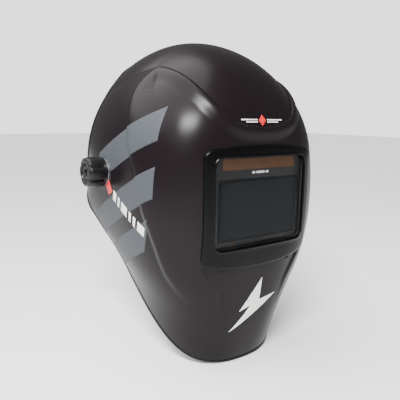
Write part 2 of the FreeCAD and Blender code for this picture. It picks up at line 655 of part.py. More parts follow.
half_band = size("band_height") / 2
thick = size("band_thick")
shape_node("forehead_band", band_solid(0, thick, BAND_POWER_FRONT, 4, 176, -half_band, half_band, True), FRONT_FRAME)
shape_node("sweatband", band_solid(-size("pad_thick"), -0.05, BAND_POWER_FRONT, 28, 152, -half_band - 4,
                                   half_band + 4, True), FRONT_FRAME)
STRAP_END = 71.0
strap_left = band_solid(0, thick, BAND_POWER_REAR, 4, STRAP_END, -10, 10, False)
strap_right = band_solid(0, thick, BAND_POWER_REAR, 180 - STRAP_END, 176, -10, 10, False)
shape_node("rear_strap_left", strap_left, REAR_FRAME)
shape_node("rear_strap_right", strap_right, REAR_FRAME)

# ---------------------------------------------------------------- crown straps
CROWN_FOOT_Z = 16.0
CROWN_HALF = 77.9
CROWN_POWER = 2.2
CROWN_FRONT_Y, CROWN_BACK_Y = 18.0, 36.0


def crown_strap(drop, start, stop):
    """A strap over the head, from one turn angle to another, lowered at the top by the drop."""
    rise = size("crown_rise") - CROWN_FOOT_Z - drop
    edges = []
    for extra in (0.0, size("crown_thick")):
        points = []
        for k in range(25):
            turn = math.radians(start + (stop - start) * k / 24.0)
            c, s = math.cos(turn), math.sin(turn)
            x = (CROWN_HALF + extra) * math.copysign(abs(c) ** (2 / CROWN_POWER), c)
            z = CROWN_FOOT_Z + (rise + extra) * abs(s) ** (2 / CROWN_POWER)
            points.append(V(x, CROWN_FRONT_Y, z))
        edges.append(points)
    inner, outer = edges
    wire = Part.Wire([spline_edge(inner), Part.makeLine(inner[-1], outer[-1]),
                      spline_edge(list(reversed(outer))), Part.makeLine(outer[0], inner[0])])
    return Part.Face(wire).extrude(V(0, CROWN_BACK_Y - CROWN_FRONT_Y, 0))


PEG_Y = (CROWN_FRONT_Y + CROWN_BACK_Y) / 2
peg_shaft = Part.makeCylinder(2.5, 12.0, V(0, PEG_Y, 88.0), V(0, 0, 1))
overlap_drop = size("crown_thick") + 0.05
left_strap = crown_strap(0.0, 0, 100).cut(peg_shaft)
right_strap = crown_strap(overlap_drop, 80, 180).cut(peg_shaft)
shape_node("crown_strap_left", left_strap)
shape_node("crown_strap_right", right_strap)
peg_top = size("crown_rise") + size("crown_thick")
peg_low = size("crown_rise") - overlap_drop
peg = Part.makeCylinder(2.5, peg_top - peg_low, V(0, PEG_Y, peg_low), V(0, 0, 1))
peg = peg.fuse([Part.makeCylinder(5.5, 1.6, V(0, PEG_Y, peg_top), V(0, 0, 1)),
                Part.makeCylinder(4.5, 1.2, V(0, PEG_Y, peg_low - 1.2), V(0, 0, 1))])
shape_node("crown_peg", peg.cut(left_strap).cut(right_strap))

REAR_CROWN = [(36.2, 93.9), (60, 89), (84, 74), (104, 49), (113, 22), (114, 6)]


def make_rear_crown():
    inner = [V(0, y, z) for y, z in REAR_CROWN]
    curve = Part.BSplineCurve()
    curve.interpolate(inner)
    outer = []
    for k in range(13):
        parameter = curve.FirstParameter + (curve.LastParameter - curve.FirstParameter) * k / 12.0
        along = curve.tangent(parameter)[0]
        outer.append(curve.value(parameter) + V(0, -along.z, along.y) * size("crown_thick"))
    wire = Part.Wire([curve.toShape(), Part.makeLine(inner[-1], outer[-1]), spline_edge(list(reversed(outer))),
                      Part.makeLine(outer[0], inner[0])])
    face = Part.Face(wire)
    face.translate(V(-size("crown_width") / 2, 0, 0))
    return face.extrude(V(size("crown_width"), 0, 0))


# ---------------------------------------------------------------- rear ratchet
HOUSING_FRONT = 86.0
CAVITY_FRONT, CAVITY_BACK = 91.5, 97.6
GEAR_FRONT, GEAR_BACK = 92.7, 96.2
SHAFT_RADIUS = 4.0
GEAR_BORE = 3.0


def make_ratchet_housing():
    width, tall = size("housing_width"), size("housing_height")
    depth = size("housing_depth")
    body = Part.makeBox(width, depth, tall, V(-width / 2, HOUSING_FRONT, -tall / 2))
    rounded = [e for e in body.Edges if abs(e.tangentAt(e.FirstParameter).y) > 0.9]
    body = body.makeFillet(6.0, rounded)
    cavity = Part.makeBox(width + 2, CAVITY_BACK - CAVITY_FRONT, 23.0, V(-width / 2 - 1, CAVITY_FRONT, -11.5))
    bore = cylinder_y(SHAFT_RADIUS + size("running_gap"), CAVITY_BACK - 1, HOUSING_FRONT + depth + 1)
    return body.cut(cavity).cut(bore).cut(strap_left).cut(strap_right)


housing_shape = make_ratchet_housing()
shape_node("ratchet_housing", housing_shape, REAR_FRAME)
rear_crown = make_rear_crown()
housing_in_place = housing_shape.copy()
housing_in_place.Placement = REAR_FRAME
shape_node("crown_strap_rear", rear_crown.cut(housing_in_place))
shape_node("rear_pad", band_solid(-13.5, -6.4, BAND_POWER_REAR, 62, 118, -15, 15, False), REAR_FRAME)

PITCH = math.pi * size("pinion_pitch") * 2 / 12
TOOTH_REACH = 0.8
TOOTH_ROOT = 1.15
TOOTH_HALF = 0.5
TOOTH_SLOPE = 0.3


def make_pinion():
    pitch_radius = size("pinion_pitch")
    gear = cylinder_y(pitch_radius - TOOTH_ROOT, GEAR_FRONT, GEAR_BACK)
    low, high = pitch_radius - TOOTH_ROOT - 0.3, pitch_radius + TOOTH_REACH
    wide, narrow = TOOTH_HALF + TOOTH_SLOPE, TOOTH_HALF - TOOTH_SLOPE / 2
    corners = [V(-wide, GEAR_FRONT, low), V(-narrow, GEAR_FRONT, high), V(narrow, GEAR_FRONT, high),
               V(wide, GEAR_FRONT, low), V(-wide, GEAR_FRONT, low)]
    tooth = Part.Face(Part.makePolygon(corners)).extrude(V(0, GEAR_BACK - GEAR_FRONT, 0))
    teeth = []
    for k in range(12):
        turned = tooth.copy()
        turned.rotate(V(0, 0, 0), V(0, 1, 0), 30.0 * k)
        teeth.append(turned)
    return gear.fuse(teeth).cut(cylinder_y(GEAR_BORE, GEAR_FRONT - 1, GEAR_BACK + 1))


def make_rack(up, start):
    """A toothed bar above (up = 1) or below (up = -1) the pinion."""
    line = size("pinion_pitch")
    bar_low = line + TOOTH_ROOT
    bar = Part.makeBox(size("rack_length"), GEAR_BACK - GEAR_FRONT, 10.8 - bar_low, V(start, GEAR_FRONT, bar_low))
    teeth = []
    count = int(22.0 / PITCH)
    for k in range(-count, count):
        middle = (k + 0.5) * PITCH
        wide, narrow = TOOTH_HALF + TOOTH_SLOPE, TOOTH_HALF - TOOTH_SLOPE / 2
        top, tip = bar_low + 0.3, line - TOOTH_REACH
        corners = [V(middle - wide, GEAR_FRONT, top), V(middle - narrow, GEAR_FRONT, tip),
                   V(middle + narrow, GEAR_FRONT, tip), V(middle + wide, GEAR_FRONT, top),
                   V(middle - wide, GEAR_FRONT, top)]
        teeth.append(Part.Face(Part.makePolygon(corners)).extrude(V(0, GEAR_BACK - GEAR_FRONT, 0)))
    rack = bar.fuse(teeth)
    if up < 0:
        rack = rack.mirror(V(0, 0, 0), V(0, 0, 1))
    return rack


shape_node("pinion", make_pinion(), REAR_FRAME)
shape_node("rack_left", make_rack(1, -22.0), REAR_FRAME)
shape_node("rack_right", make_rack(-1, 22.0 - size("rack_length")), REAR_FRAME)

ratchet = new_body("ratchet_knob")
KNOB_FOOT = HOUSING_FRONT + size("housing_depth") + 0.35
pad(ratchet, "ratchet_disc", lambda s: add_circle(s, "Sizes.ratchet_radius"), "Sizes.ratchet_height", KNOB_FOOT)
groove = pocket(ratchet, "ratchet_flute", lambda s: add_circle(s, 3.2, 0.0, size("ratchet_radius") + 1.6),
                "Sizes.ratchet_height", KNOB_FOOT + size("ratchet_height"))
ring = ratchet.newObject("PartDesign::PolarPattern", "ratchet_flutes")
ring.Originals = [groove]
ring.Axis = (groove.Profile[0], ["N_Axis"])
ring.Angle = 360
ring.Occurrences = 14
ratchet.Tip = ring
doc.recompute()
pocket(ratchet, "ratchet_well", lambda s: add_circle(s, 13.0), 2.0, KNOB_FOOT + size("ratchet_height"))
pad(ratchet, "ratchet_shaft", lambda s: add_circle(s, SHAFT_RADIUS), KNOB_FOOT - GEAR_BACK + 0.5, GEAR_BACK)
pad(ratchet, "ratchet_spigot", lambda s: add_circle(s, GEAR_BORE), GEAR_BACK - GEAR_FRONT + 0.5, GEAR_FRONT)
ratchet.Placement = REAR_FRAME.multiply(at(0, 0, 0, (1, 0, 0), -90))
keep(ratchet, "ratchet_knob")

# ---------------------------------------------------------------- side arms and rivets
FRONT_RIVET = (13.0, 24.0)
REAR_RIVET = (46.0, 16.0)
for label, side in SIDES:
    arm = new_body("side_arm_" + label)
    pad(arm, "upright_" + label, lambda s: add_rectangle(s, 52.0, "Sizes.arm_width", -side * 9.0, 0.001),
        "Sizes.arm_thick")
    pad(arm, "leg_" + label, lambda s: add_rectangle(s, 24.0, 66.0, -side * 21.0, 19.0), "Sizes.arm_thick")
    pocket(arm, "arm_bore_" + label, lambda s: add_circle(s, "Sizes.journal_radius"), 6.0, size("arm_thick"))
    for name, (y, z) in (("front", FRONT_RIVET), ("rear", REAR_RIVET)):
        pocket(arm, "%s_rivet_hole_%s" % (name, label),
               lambda s: add_circle(s, size("rivet_radius"), -side * z, y), 6.0, size("arm_thick"))
    arm.Placement = side_placement(side, size("arm_inside"))
    keep(arm, "side_arm_" + label)

    pins = []
    for y, z in (FRONT_RIVET, REAR_RIVET):
        shaft = cylinder_x(size("rivet_radius"), side * 78.2, side * (size("arm_inside") + size("arm_thick")), y, z)
        outer_head = cylinder_x(4.0, side * 86.0, side * 87.4, y, z)
        inner_head = cylinder_x(4.0, side * 77.4, side * 78.6, y, z)
        pins.append(shaft.fuse([outer_head, inner_head]))
    shape_node("arm_rivets_" + label, Part.makeCompound(pins))

# ---------------------------------------------------------------- check and export
doc.recompute()
os.makedirs("parts", exist_ok=True)
for obj in doc.Objects:
    for state in ("Invalid", "Error"):
        if state in obj.State:
            raise RuntimeError("%s is %s" % (obj.Label, obj.State))
for obj in NODES:
    if obj.Shape.isNull() or not obj.Shape.isValid() or not obj.Shape.Solids:
        raise RuntimeError("%s has no valid solid" % obj.Label)
for obj in NODES:
    obj.Shape.exportStep("parts/%s.step" % obj.Label)
    box = obj.Shape.BoundBox
    print("%-24s %9.1f mm3  %d solids  x %.1f..%.1f y %.1f..%.1f z %.1f..%.1f" % (
        obj.Label, obj.Shape.Volume, len(obj.Shape.Solids), box.XMin, box.XMax, box.YMin, box.YMax, box.ZMin,
        box.ZMax))
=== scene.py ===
import json
import math

import bmesh
import bpy
import numpy as np
from mathutils import Matrix, Vector


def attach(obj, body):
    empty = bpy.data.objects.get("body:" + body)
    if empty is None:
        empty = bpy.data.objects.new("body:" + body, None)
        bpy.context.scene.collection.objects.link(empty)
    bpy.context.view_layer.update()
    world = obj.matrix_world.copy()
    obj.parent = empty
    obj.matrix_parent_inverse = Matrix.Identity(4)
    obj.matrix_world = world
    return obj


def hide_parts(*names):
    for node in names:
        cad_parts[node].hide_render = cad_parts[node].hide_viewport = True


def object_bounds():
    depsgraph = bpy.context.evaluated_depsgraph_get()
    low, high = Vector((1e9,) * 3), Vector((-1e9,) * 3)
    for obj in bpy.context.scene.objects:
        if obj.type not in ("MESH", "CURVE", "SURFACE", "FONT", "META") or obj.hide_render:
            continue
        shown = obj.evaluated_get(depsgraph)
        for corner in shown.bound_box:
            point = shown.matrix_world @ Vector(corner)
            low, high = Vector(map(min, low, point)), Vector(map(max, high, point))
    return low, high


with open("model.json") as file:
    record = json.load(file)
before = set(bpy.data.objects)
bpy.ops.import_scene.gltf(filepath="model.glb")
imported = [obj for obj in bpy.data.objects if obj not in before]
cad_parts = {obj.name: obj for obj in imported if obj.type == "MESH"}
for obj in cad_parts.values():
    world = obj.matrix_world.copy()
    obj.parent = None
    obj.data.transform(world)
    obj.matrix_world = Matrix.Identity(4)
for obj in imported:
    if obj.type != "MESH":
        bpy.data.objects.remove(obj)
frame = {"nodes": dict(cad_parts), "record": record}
CAD_BOX = [list(corner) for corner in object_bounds()]
MM = 0.001          # the outlines below are in millimetres, as the CAD's are

# ---------------------------------------------------------------- form of the shell
# Sections lie in planes that fan about an axis along X, low at the rear. A section's reach follows the side
# profile (y, z). The stations give the rest: fan angle, half width, exponent, and radius of the side wall.
FAN_Y, FAN_Z = 85.0, -60.0
PROFILE = [(-104, -209), (-110, -186), (-116, -158), (-122, -125), (-126, -95), (-128, -60),
           (-128, -24), (-128, 15), (-126, 46), (-118, 73), (-100, 99), (-71, 120), (-32, 133),
           (8, 137), (48, 133), (85, 123)]
STATIONS = [(-42, 86, 2.5, 95), (-30, 96, 2.5, 90), (-15, 108, 3.0, 85), (0, 114, 3.6, 80),
            (10, 117, 3.7, 80), (25, 119, 3.3, 80), (40, 119, 2.7, 80), (60, 115, 2.2, 75),
            (75, 110, 2.1, 70), (92, 105, 2.1, 60)]
WALL_BULGE = 190.0          # radius of the side wall behind a section's widest place
FAN_LOW, FAN_HIGH, FAN_STEP = -46, 96.01, 0.25
LONGEST_SECTION = 361.0
WALL_END = -60              # radius where the side wall's table ends, behind the fan's axis
# crown dome: its edge (fan angle, x) and how far it stands above the mask along the middle
DOME_EDGE = [(28.0, 2.0), (28.2, 18), (28.9, 29), (29.9, 38), (31.9, 47), (34.9, 53.5), (38.9, 59.6),
             (44, 63.2), (49, 65.5), (54.4, 66.7), (58.1, 68.5), (62.1, 74.7), (67, 80.0), (74, 84.5),
             (82, 87), (95, 89)]
DOME_RISE = [(20, -3.0), (28, -1.2), (33, 0.8), (40, 3.4), (45, 5.1), (50, 6.6), (56, 8.4), (62, 9.8),
             (70, 10.5), (80, 10.3), (92, 7.1)]
DOME_FULLNESS = 0.85
# where the raised mask ends on each side, in side view (y, z), from the crown down to the chin
SIDE_CREASE = [(-30, 107), (-26, 98), (-25, 88), (-27, 78), (-33, 65), (-40, 51), (-47, 37), (-54, 22),
               (-60, 7), (-68, -12), (-74, -35), (-80, -51), (-85, -71), (-89, -98), (-94, -116),
               (-100, -133)]
LOWER_TRIM = [(95, -8), (80, -18), (60, -43), (42, -62), (0, -111), (-28, -145), (-60, -181),
              (-82, -200), (-106, -209), (-150, -214)]
REAR_TRIM = [(78, -24), (76, 10), (73, 40), (68, 70), (62, 95), (60, 108), (75, 125), (86, 150)]
LOWER_SLANT = 0.7           # distance from the slanting lower edge, as a share of the height above it
WALL = 2.6
WINDOW_WIDTH, WINDOW_HEIGHT, WINDOW_Z, WINDOW_CORNER = 119.4, 92.0, -24.0, 9.0


def spline(xs, ys):
    """Natural cubic spline through the points, as a function."""
    xs, ys = np.array(xs, float), np.array(ys, float)
    step = np.diff(xs)
    slope = np.diff(ys) / step
    count = len(xs)
    system = np.eye(count)
    right = np.zeros(count)
    for i in range(1, count - 1):
        system[i, i - 1:i + 2] = step[i - 1], 2 * (step[i - 1] + step[i]), step[i]
        right[i] = 6 * (slope[i] - slope[i - 1])
    bend = np.linalg.solve(system, right)

    def value(x):
        x = np.asarray(x, float)
        i = np.clip(np.searchsorted(xs, x) - 1, 0, count - 2)
        a, b = xs[i + 1] - x, x - xs[i]
        inside = (bend[i] * a ** 3 + bend[i + 1] * b ** 3) / (6 * step[i])
        return (inside + (ys[i] / step[i] - bend[i] * step[i] / 6) * a
                + (ys[i + 1] / step[i] - bend[i + 1] * step[i] / 6) * b)
    return value


def smooth(low, high, x):
    t = np.clip((np.asarray(x, float) - low) / (high - low), 0, 1)
    return t * t * (3 - 2 * t)


def polar(y, z):
    return math.degrees(math.atan2(z - FAN_Z, FAN_Y - y)), math.hypot(z - FAN_Z, FAN_Y - y)


reach_of = spline(*zip(*[polar(y, z) for y, z in PROFILE]))
half_of = spline([s[0] for s in STATIONS], [s[1] for s in STATIONS])
power_of = spline([s[0] for s in STATIONS], [s[2] for s in STATIONS])
side_of = spline([s[0] for s in STATIONS], [s[3] for s in STATIONS])
rise_of = spline(*zip(*DOME_RISE))
edge_angles = np.array([a for a, _ in DOME_EDGE], float)
edge_widths = np.array([x for _, x in DOME_EDGE], float)


def dome_edge(angle):
    return np.interp(angle, edge_angles, edge_widths, left=0.0)


def build_table():
    """x and radius of each section at every millimetre of its length, for a fine set of fan angles."""
    angles = np.arange(FAN_LOW, FAN_HIGH, FAN_STEP)
    along = np.arange(0, LONGEST_SECTION)
    xs = np.zeros((len(angles), len(along)))
    radii = np.zeros_like(xs)
    for row, angle in enumerate(angles):
        reach, half = reach_of(angle), half_of(angle)
        power, side = power_of(angle), side_of(angle)
        turn = np.radians(np.linspace(0, 90, 721))
        x = half * np.sin(turn) ** (2 / power)
        r = side + (reach - side) * np.clip(np.cos(turn), 0, 1) ** (2 / power)
        back = np.linspace(side, WALL_END, 200)[1:]
        x = np.concatenate([x, half * np.sqrt(1 - ((back - side) / WALL_BULGE) ** 2)])
        r = np.concatenate([r, back])
        length = np.concatenate([[0], np.cumsum(np.hypot(np.diff(x), np.diff(r)))])
        xs[row] = np.interp(along, length, x)
        radii[row] = np.interp(along, length, r)
    return angles, xs, radii


TABLE_ANGLES, TABLE_X, TABLE_R = build_table()


def lookup(table, angle, along):
    a = np.clip((angle - TABLE_ANGLES[0]) / FAN_STEP, 0, len(TABLE_ANGLES) - 1.001)
    s = np.clip(along, 0, table.shape[1] - 1.001)
    i, j = a.astype(int), s.astype(int)
    u, v = a - i, s - j
    return ((1 - u) * (1 - v) * table[i, j] + u * (1 - v) * table[i + 1, j]
            + (1 - u) * v * table[i, j + 1] + u * v * table[i + 1, j + 1])


def surface(angle, along):
    """Points of the shell's outer face before its raised details; along is signed, in mm from the middle."""
    angle, along = np.broadcast_arrays(np.asarray(angle, float), np.asarray(along, float))
    x = lookup(TABLE_X, angle, np.abs(along))
    r = lookup(TABLE_R, angle, np.abs(along))
    edge = dome_edge(angle)
    share = np.clip(1 - (x / np.maximum(edge, 1e-6)) ** 2, 0, 1)
    r = r + np.where(edge > 0, rise_of(angle) * share ** DOME_FULLNESS, 0)
    a = np.radians(angle)
    return np.stack([x * np.sign(along), FAN_Y - r * np.cos(a), FAN_Z + r * np.sin(a)], -1)


def mask_x(y, z):
    """Half width of the mask's surface at a place in side view."""
    angle, r = polar(y, z)
    side, reach = side_of(angle), reach_of(angle)
    share = max((r - side) / (reach - side), 0.0)
    return float(half_of(angle) * max(1 - share ** power_of(angle), 0.0) ** (1 / power_of(angle)))


LOWER_CURVE = spline(*zip(*sorted(LOWER_TRIM)))
REAR_CURVE = spline(*zip(*sorted((z, y) for y, z in REAR_TRIM)))
REAR_LOW, REAR_HIGH = REAR_TRIM[0][1], REAR_TRIM[-1][1]


def trim_value(y, z):
    """Positive inside the shell's outline in side view, zero on its lower and rear edges."""
    above = (z - LOWER_CURVE(y)) * LOWER_SLANT
    ahead = REAR_CURVE(np.clip(z, REAR_LOW, REAR_HIGH)) - y
    return np.minimum(above, ahead)


def rounded_gap(x, z, width, height, corner, centre_z):
    """Signed distance outside a rounded rectangle in front view."""
    dx = np.abs(x) - width / 2 + corner
    dz = np.abs(z - centre_z) - height / 2 + corner
    return np.hypot(np.maximum(dx, 0), np.maximum(dz, 0)) + np.minimum(np.maximum(dx, dz), 0) - corner


# ---------------------------------------------------------------- shell mesh
# Columns run from the window's collar out to the rim, so both edges are clean loops of the grid.
MIDDLE_ANGLE = 9.5
ANGLE_MM = 3.9              # length of a degree of the fan at the window, near enough
COLLAR_WALL = 3.8
COLLAR_WIDTH, COLLAR_HEIGHT = WINDOW_WIDTH + 2 * COLLAR_WALL, WINDOW_HEIGHT + 2 * COLLAR_WALL
COLLAR_CORNER = WINDOW_CORNER + COLLAR_WALL
COLUMNS, ROWS, INNER_STEP = 520, 140, 4
MAX_RAY, RAY_STEP, HALVINGS = 520.0, 1.5, 24
CLEAR_OF_WINDOW = 60.0      # a ray this long is past the window and still inside the rim
EVEN_SHARE = 0.75           # how evenly the columns are spaced along the rim, against evenly in angle
SHELL_MIDDLE = np.array([0, 0, -30.0])


def ray_points(theta, rho):
    return surface(MIDDLE_ANGLE + rho * np.sin(theta) / ANGLE_MM, rho * np.cos(theta))


def first_crossing(theta, value, rho):
    """Where value(points) first turns negative along each ray, refined by halving."""
    steps = np.arange(rho, MAX_RAY, RAY_STEP)
    points = ray_points(theta[:, None], steps[None, :])
    negative = value(points) < 0
    index = np.argmax(negative, axis=1)
    low, high = steps[np.maximum(index - 1, 0)], steps[index]
    for _ in range(HALVINGS):
        middle = (low + high) / 2
        inside = value(ray_points(theta, middle)) >= 0
        low, high = np.where(inside, middle, low), np.where(inside, high, middle)
    return low


def rim_value(points):
    return trim_value(points[..., 1], points[..., 2])


def collar_value(points):
    return -rounded_gap(points[..., 0], points[..., 2], COLLAR_WIDTH, COLLAR_HEIGHT, COLLAR_CORNER, WINDOW_Z)


def even_thetas():
    """Ray directions that space the columns evenly along the rim."""
    theta = np.linspace(0, 2 * np.pi, 2401)
    rim = ray_points(theta, first_crossing(theta, rim_value, CLEAR_OF_WINDOW))
    length = np.concatenate([[0], np.cumsum(np.linalg.norm(np.diff(rim, axis=0), axis=1))])
    share = EVEN_SHARE * length / length[-1] + (1 - EVEN_SHARE) * theta / theta[-1]
    return np.interp(np.arange(COLUMNS) / COLUMNS, share, theta)


def grid_normals(points):
    """Outward normals of a grid whose second direction is closed."""
    down = np.gradient(points, axis=0)
    around = np.roll(points, -1, axis=1) - np.roll(points, 1, axis=1)
    normal = np.cross(down, around)
    normal /= np.maximum(np.linalg.norm(normal, axis=-1, keepdims=True), 1e-9)
    facing = (normal * (points - SHELL_MIDDLE)).sum(-1).mean()
    return normal if facing > 0 else -normal


def distance_to(line, points):
    """Distance from points to a polyline, and how far along it the nearest place is (0 to 1)."""
    line = np.asarray(line, float)
    best = np.full(points.shape[:-1], 1e9)
    where = np.zeros_like(best)
    lengths = np.linalg.norm(np.diff(line, axis=0), axis=1)
    start = np.concatenate([[0], np.cumsum(lengths)])
    for a, b, begin, length in zip(line, line[1:], start, lengths):
        along = b - a
        t = np.clip(((points - a) @ along) / (length ** 2), 0, 1)
        gap = np.linalg.norm(points - a - t[..., None] * along, axis=-1)
        closer = gap < best
        best = np.where(closer, gap, best)
        where = np.where(closer, begin + t * length, where)
    return best, where / start[-1]


def crown_line(angles):
    """The dome's edge on the left side, as points on the surface."""
    points = []
    for angle in angles:
        x = float(dome_edge(angle))
        side, reach = side_of(angle), reach_of(angle)
        r = side + (reach - side) * (1 - (x / half_of(angle)) ** power_of(angle)) ** (1 / power_of(angle))
        a = math.radians(angle)
        points.append((x, FAN_Y - r * math.cos(a), FAN_Z + r * math.sin(a)))
    return points


DOME_START, CORNER_ANGLE = 28.0, 55.0
crown_arm = crown_line(np.concatenate([np.linspace(DOME_START, 30.0, 8), np.linspace(31, CORNER_ANGLE, 20)]))
crease_side = [(mask_x(y, z), y, z) for y, z in SIDE_CREASE]
# the corner lies between the ends of the two, a little further out
corner = [(0.62 * crown_arm[-1][i] + 0.38 * crease_side[0][i] + (1.5, -0.5, 1.5)[i]) for i in range(3)]
MASK_EDGE = crown_arm + [corner] + crease_side
# the same edge in side view, as z and y from the chin up
BOUNDARY = sorted([(z, y) for y, z in SIDE_CREASE] + [(corner[2], corner[1]), crown_arm[-1][:0:-1]])


def side_view_sign(y, z):
    """Positive ahead of the side crease."""
    return np.interp(z, [point[0] for point in BOUNDARY], [point[1] for point in BOUNDARY]) - y


# the mask's shoulder along its edge, from the forehead (0) to the chin (1): how high it stands, how far in
# it is level again, and where beside the edge it starts and tops out
SHOULDER_HEIGHT = ([0, 0.12, 0.3, 0.42, 0.5, 0.62, 0.80, 0.92, 1.0],
                   [2.8, 2.8, 3.0, 3.3, 3.0, 2.8, 2.6, 1.6, 0])
SHOULDER_REACH = ([0, 0.3, 0.45, 0.6, 1.0], [16, 18, 40, 60, 45])
SHOULDER_FOOT = ([0, 0.3, 0.5, 1.0], [-0.9, -1.0, -2.0, -3.0])
SHOULDER_TOP = ([0, 0.3, 0.5, 1.0], [1.7, 2.3, 4.0, 6.0])
SHOULDER_FALL = 3.0
# the chin plate's half width at each height, and how deep it is sunk
CHIN_EDGE = ([-160, -145, -120, -88], [40, 43, 50, 70])
CHIN_DEPTH = 2.6


def details(points, angle):
    """How far the moulded details stand out from the plain surface, in millimetres."""
    x, y, z = np.abs(points[..., 0]), points[..., 1], points[..., 2]
    mirrored = np.stack([x, y, z], -1)
    gap, along = distance_to(MASK_EDGE, mirrored)
    on_dome = (x < dome_edge(angle)) & (angle > DOME_START - 0.1)
    inside = ~on_dome & (side_view_sign(y, z) > 0)
    signed = np.where(inside, gap, -gap)
    height, reach = np.interp(along, *SHOULDER_HEIGHT), np.interp(along, *SHOULDER_REACH)
    foot, top = np.interp(along, *SHOULDER_FOOT), np.interp(along, *SHOULDER_TOP)
    lift = height * smooth(foot, top, signed) * (1 - smooth(SHOULDER_FALL, reach, signed))
    # chin plate, sunk between two creases that run down and inwards from the window's lower corners
    inwards = np.interp(z, *CHIN_EDGE) - x
    sunk = CHIN_DEPTH * smooth(-158, -100, z) * (1 - smooth(-84, -80, z)) * smooth(-1.5, 5.0, inwards)
    front = smooth(-60, -90, y)
    return lift - sunk * front


BOSS_RADIUS, BOSS_BLEND, BOSS_FACE = 16.0, 7, 119.4
NEAR_SIDE = 90              # the shell's sides are further out than this


def flatten_boss(points):
    """The flat pad round each pivot."""
    x, y, z = points[..., 0], points[..., 1], points[..., 2]
    blend = 1 - smooth(BOSS_RADIUS, BOSS_RADIUS + BOSS_BLEND, np.hypot(y, z))
    near = np.abs(x) > NEAR_SIDE
    pad = np.sign(x) * BOSS_FACE
    points[..., 0] = np.where(near, x + (pad - x) * blend, x)
    return points


# section of the rolled rim: outwards along the surface, then up from it, in millimetres
RIM_ROLL = [(-0.6, 0.25), (0.2, 0.75), (1.2, 0.95), (2.2, 0.65), (2.9, -0.15), (3.1, -1.2), (2.9, -2.3),
            (2.2, -3.1), (1.2, -3.45), (0.2, -3.3), (-0.6, -2.8)]


def new_object(name, points, faces, smooth_shading=True):
    mesh = bpy.data.meshes.new(name)
    mesh.from_pydata([tuple(p) for p in np.asarray(points) * MM], [], faces)
    mesh.update()
    mesh.polygons.foreach_set("use_smooth", [smooth_shading] * len(mesh.polygons))
    obj = bpy.data.objects.new(name, mesh)
    bpy.context.scene.collection.objects.link(obj)
    return obj


def ring_faces(rows, columns, closed_rows=False):
    """Quads of a grid whose columns close round."""
    faces = []
    for i in range(rows if closed_rows else rows - 1):
        for j in range(columns):
            a, b = i * columns + j, i * columns + (j + 1) % columns
            c, d = ((i + 1) % rows) * columns + (j + 1) % columns, ((i + 1) % rows) * columns + j
            faces.append((a, b, c, d))
    return faces


def tidy_normals(obj):
    mesh = bmesh.new()
    mesh.from_mesh(obj.data)
    bmesh.ops.recalc_face_normals(mesh, faces=mesh.faces)
    mesh.to_mesh(obj.data)
    mesh.free()


def add_piece(obj, body, slot_name, *nodes):
    """Hand a finished piece to its body, hiding the CAD nodes named; slot_name is not used."""
    tidy_normals(obj)
    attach(obj, body)
    if nodes:
        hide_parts(*nodes)
    return obj


def build_shell():
    theta = even_thetas()
    rim = first_crossing(theta, rim_value, CLEAR_OF_WINDOW)
    collar = first_crossing(theta, collar_value, 0.0)
    share = np.linspace(0, 1, ROWS + 1)[:, None]
    rho = collar * (1 - share) + rim * share
    angle = MIDDLE_ANGLE + rho * np.sin(theta) / ANGLE_MM
    plain = surface(angle, rho * np.cos(theta))
    normal = grid_normals(plain)
    outer = flatten_boss(plain + normal * details(plain, angle)[..., None])
    normal = grid_normals(outer)
    # away from the window along the surface, at the rim
    away = outer[-1] - outer[-3]
    away /= np.linalg.norm(away, axis=-1, keepdims=True)
    roll = [outer[-1] + away * a + normal[-1] * up for a, up in RIM_ROLL]
    inner = [outer[i] - normal[i] * WALL for i in range(ROWS, -1, -INNER_STEP)]
    loops = np.array(list(outer) + roll + inner)
    obj = new_object("shell_body", loops.reshape(-1, 3), ring_faces(len(loops), COLUMNS, True))
    bead = range((ROWS - 2) * COLUMNS, (ROWS + len(RIM_ROLL)) * COLUMNS)
    return obj, outer, normal, bead


shell_obj, SHELL_OUTER, SHELL_NORMAL, bead_faces = build_shell()
add_piece(shell_obj, "shell", "shell", "shell")


# ---------------------------------------------------------------- turned pieces
def turned(name, profile, count=64, radius_at=None, closed=True):
    """A turned piece about X from (radius, x) pairs; radius_at(turn, radius, x) shapes it round its axis."""
    turn = np.linspace(0, 2 * np.pi, count, endpoint=False)
    loops = []
    for radius, x in profile:
        r = np.full(count, float(radius)) if radius_at is None else radius_at(turn, radius, x)
        loops.append(np.stack([np.full(count, float(x)), r * np.cos(turn), r * np.sin(turn)], -1))
    faces = ring_faces(len(loops), count, closed)
    if not closed:
        faces += [tuple(range(count)), tuple(range((len(loops) - 1) * count, len(loops) * count))]
    return new_object(name, np.array(loops).reshape(-1, 3), faces)


def place(obj, shift, swap=None):
    """Move a piece's vertices, first turning its own X axis onto the swap axis."""
    matrix = Matrix.Translation(Vector(shift) * MM)
    if swap is not None:
        matrix = matrix @ Vector((1, 0, 0)).rotation_difference(Vector(swap)).to_matrix().to_4x4()
    obj.data.transform(matrix)
    return obj


# ---------------------------------------------------------------- window bezel
BEZEL_HALF, BEZEL_CORNER, BEZEL_STAND = 71.0, 8.0, 3.5
BEZEL_TOP, BEZEL_ARCH = 34, 5            # top edge in the middle, and how much lower it ends
BEZEL_BOTTOM, BEZEL_BELLY = -93.5, 8     # the same for the bottom edge, which ends higher
LENS_FRONT, COLLAR_BACK = -126.0, -121.0
COLLAR_GAP, REBATE_GAP = 3.75, 2.3       # outwards from the window's edge
BURIED = -0.9                            # the bezel's underside lies this far under the shell's face
# sections of the raised lip round the window and of the outer edge: outwards, then up
LIP_SECTION = [(0.2, 4.0), (0.6, 4.45), (1.1, 4.5), (1.6, 4.3), (2.0, 3.8), (2.6, 3.5)]
EDGE_SECTION = [(-2.0, 3.2), (-1.1, 2.75), (-0.45, 2.0), (-0.1, 1.0), (0.0, 0.2)]


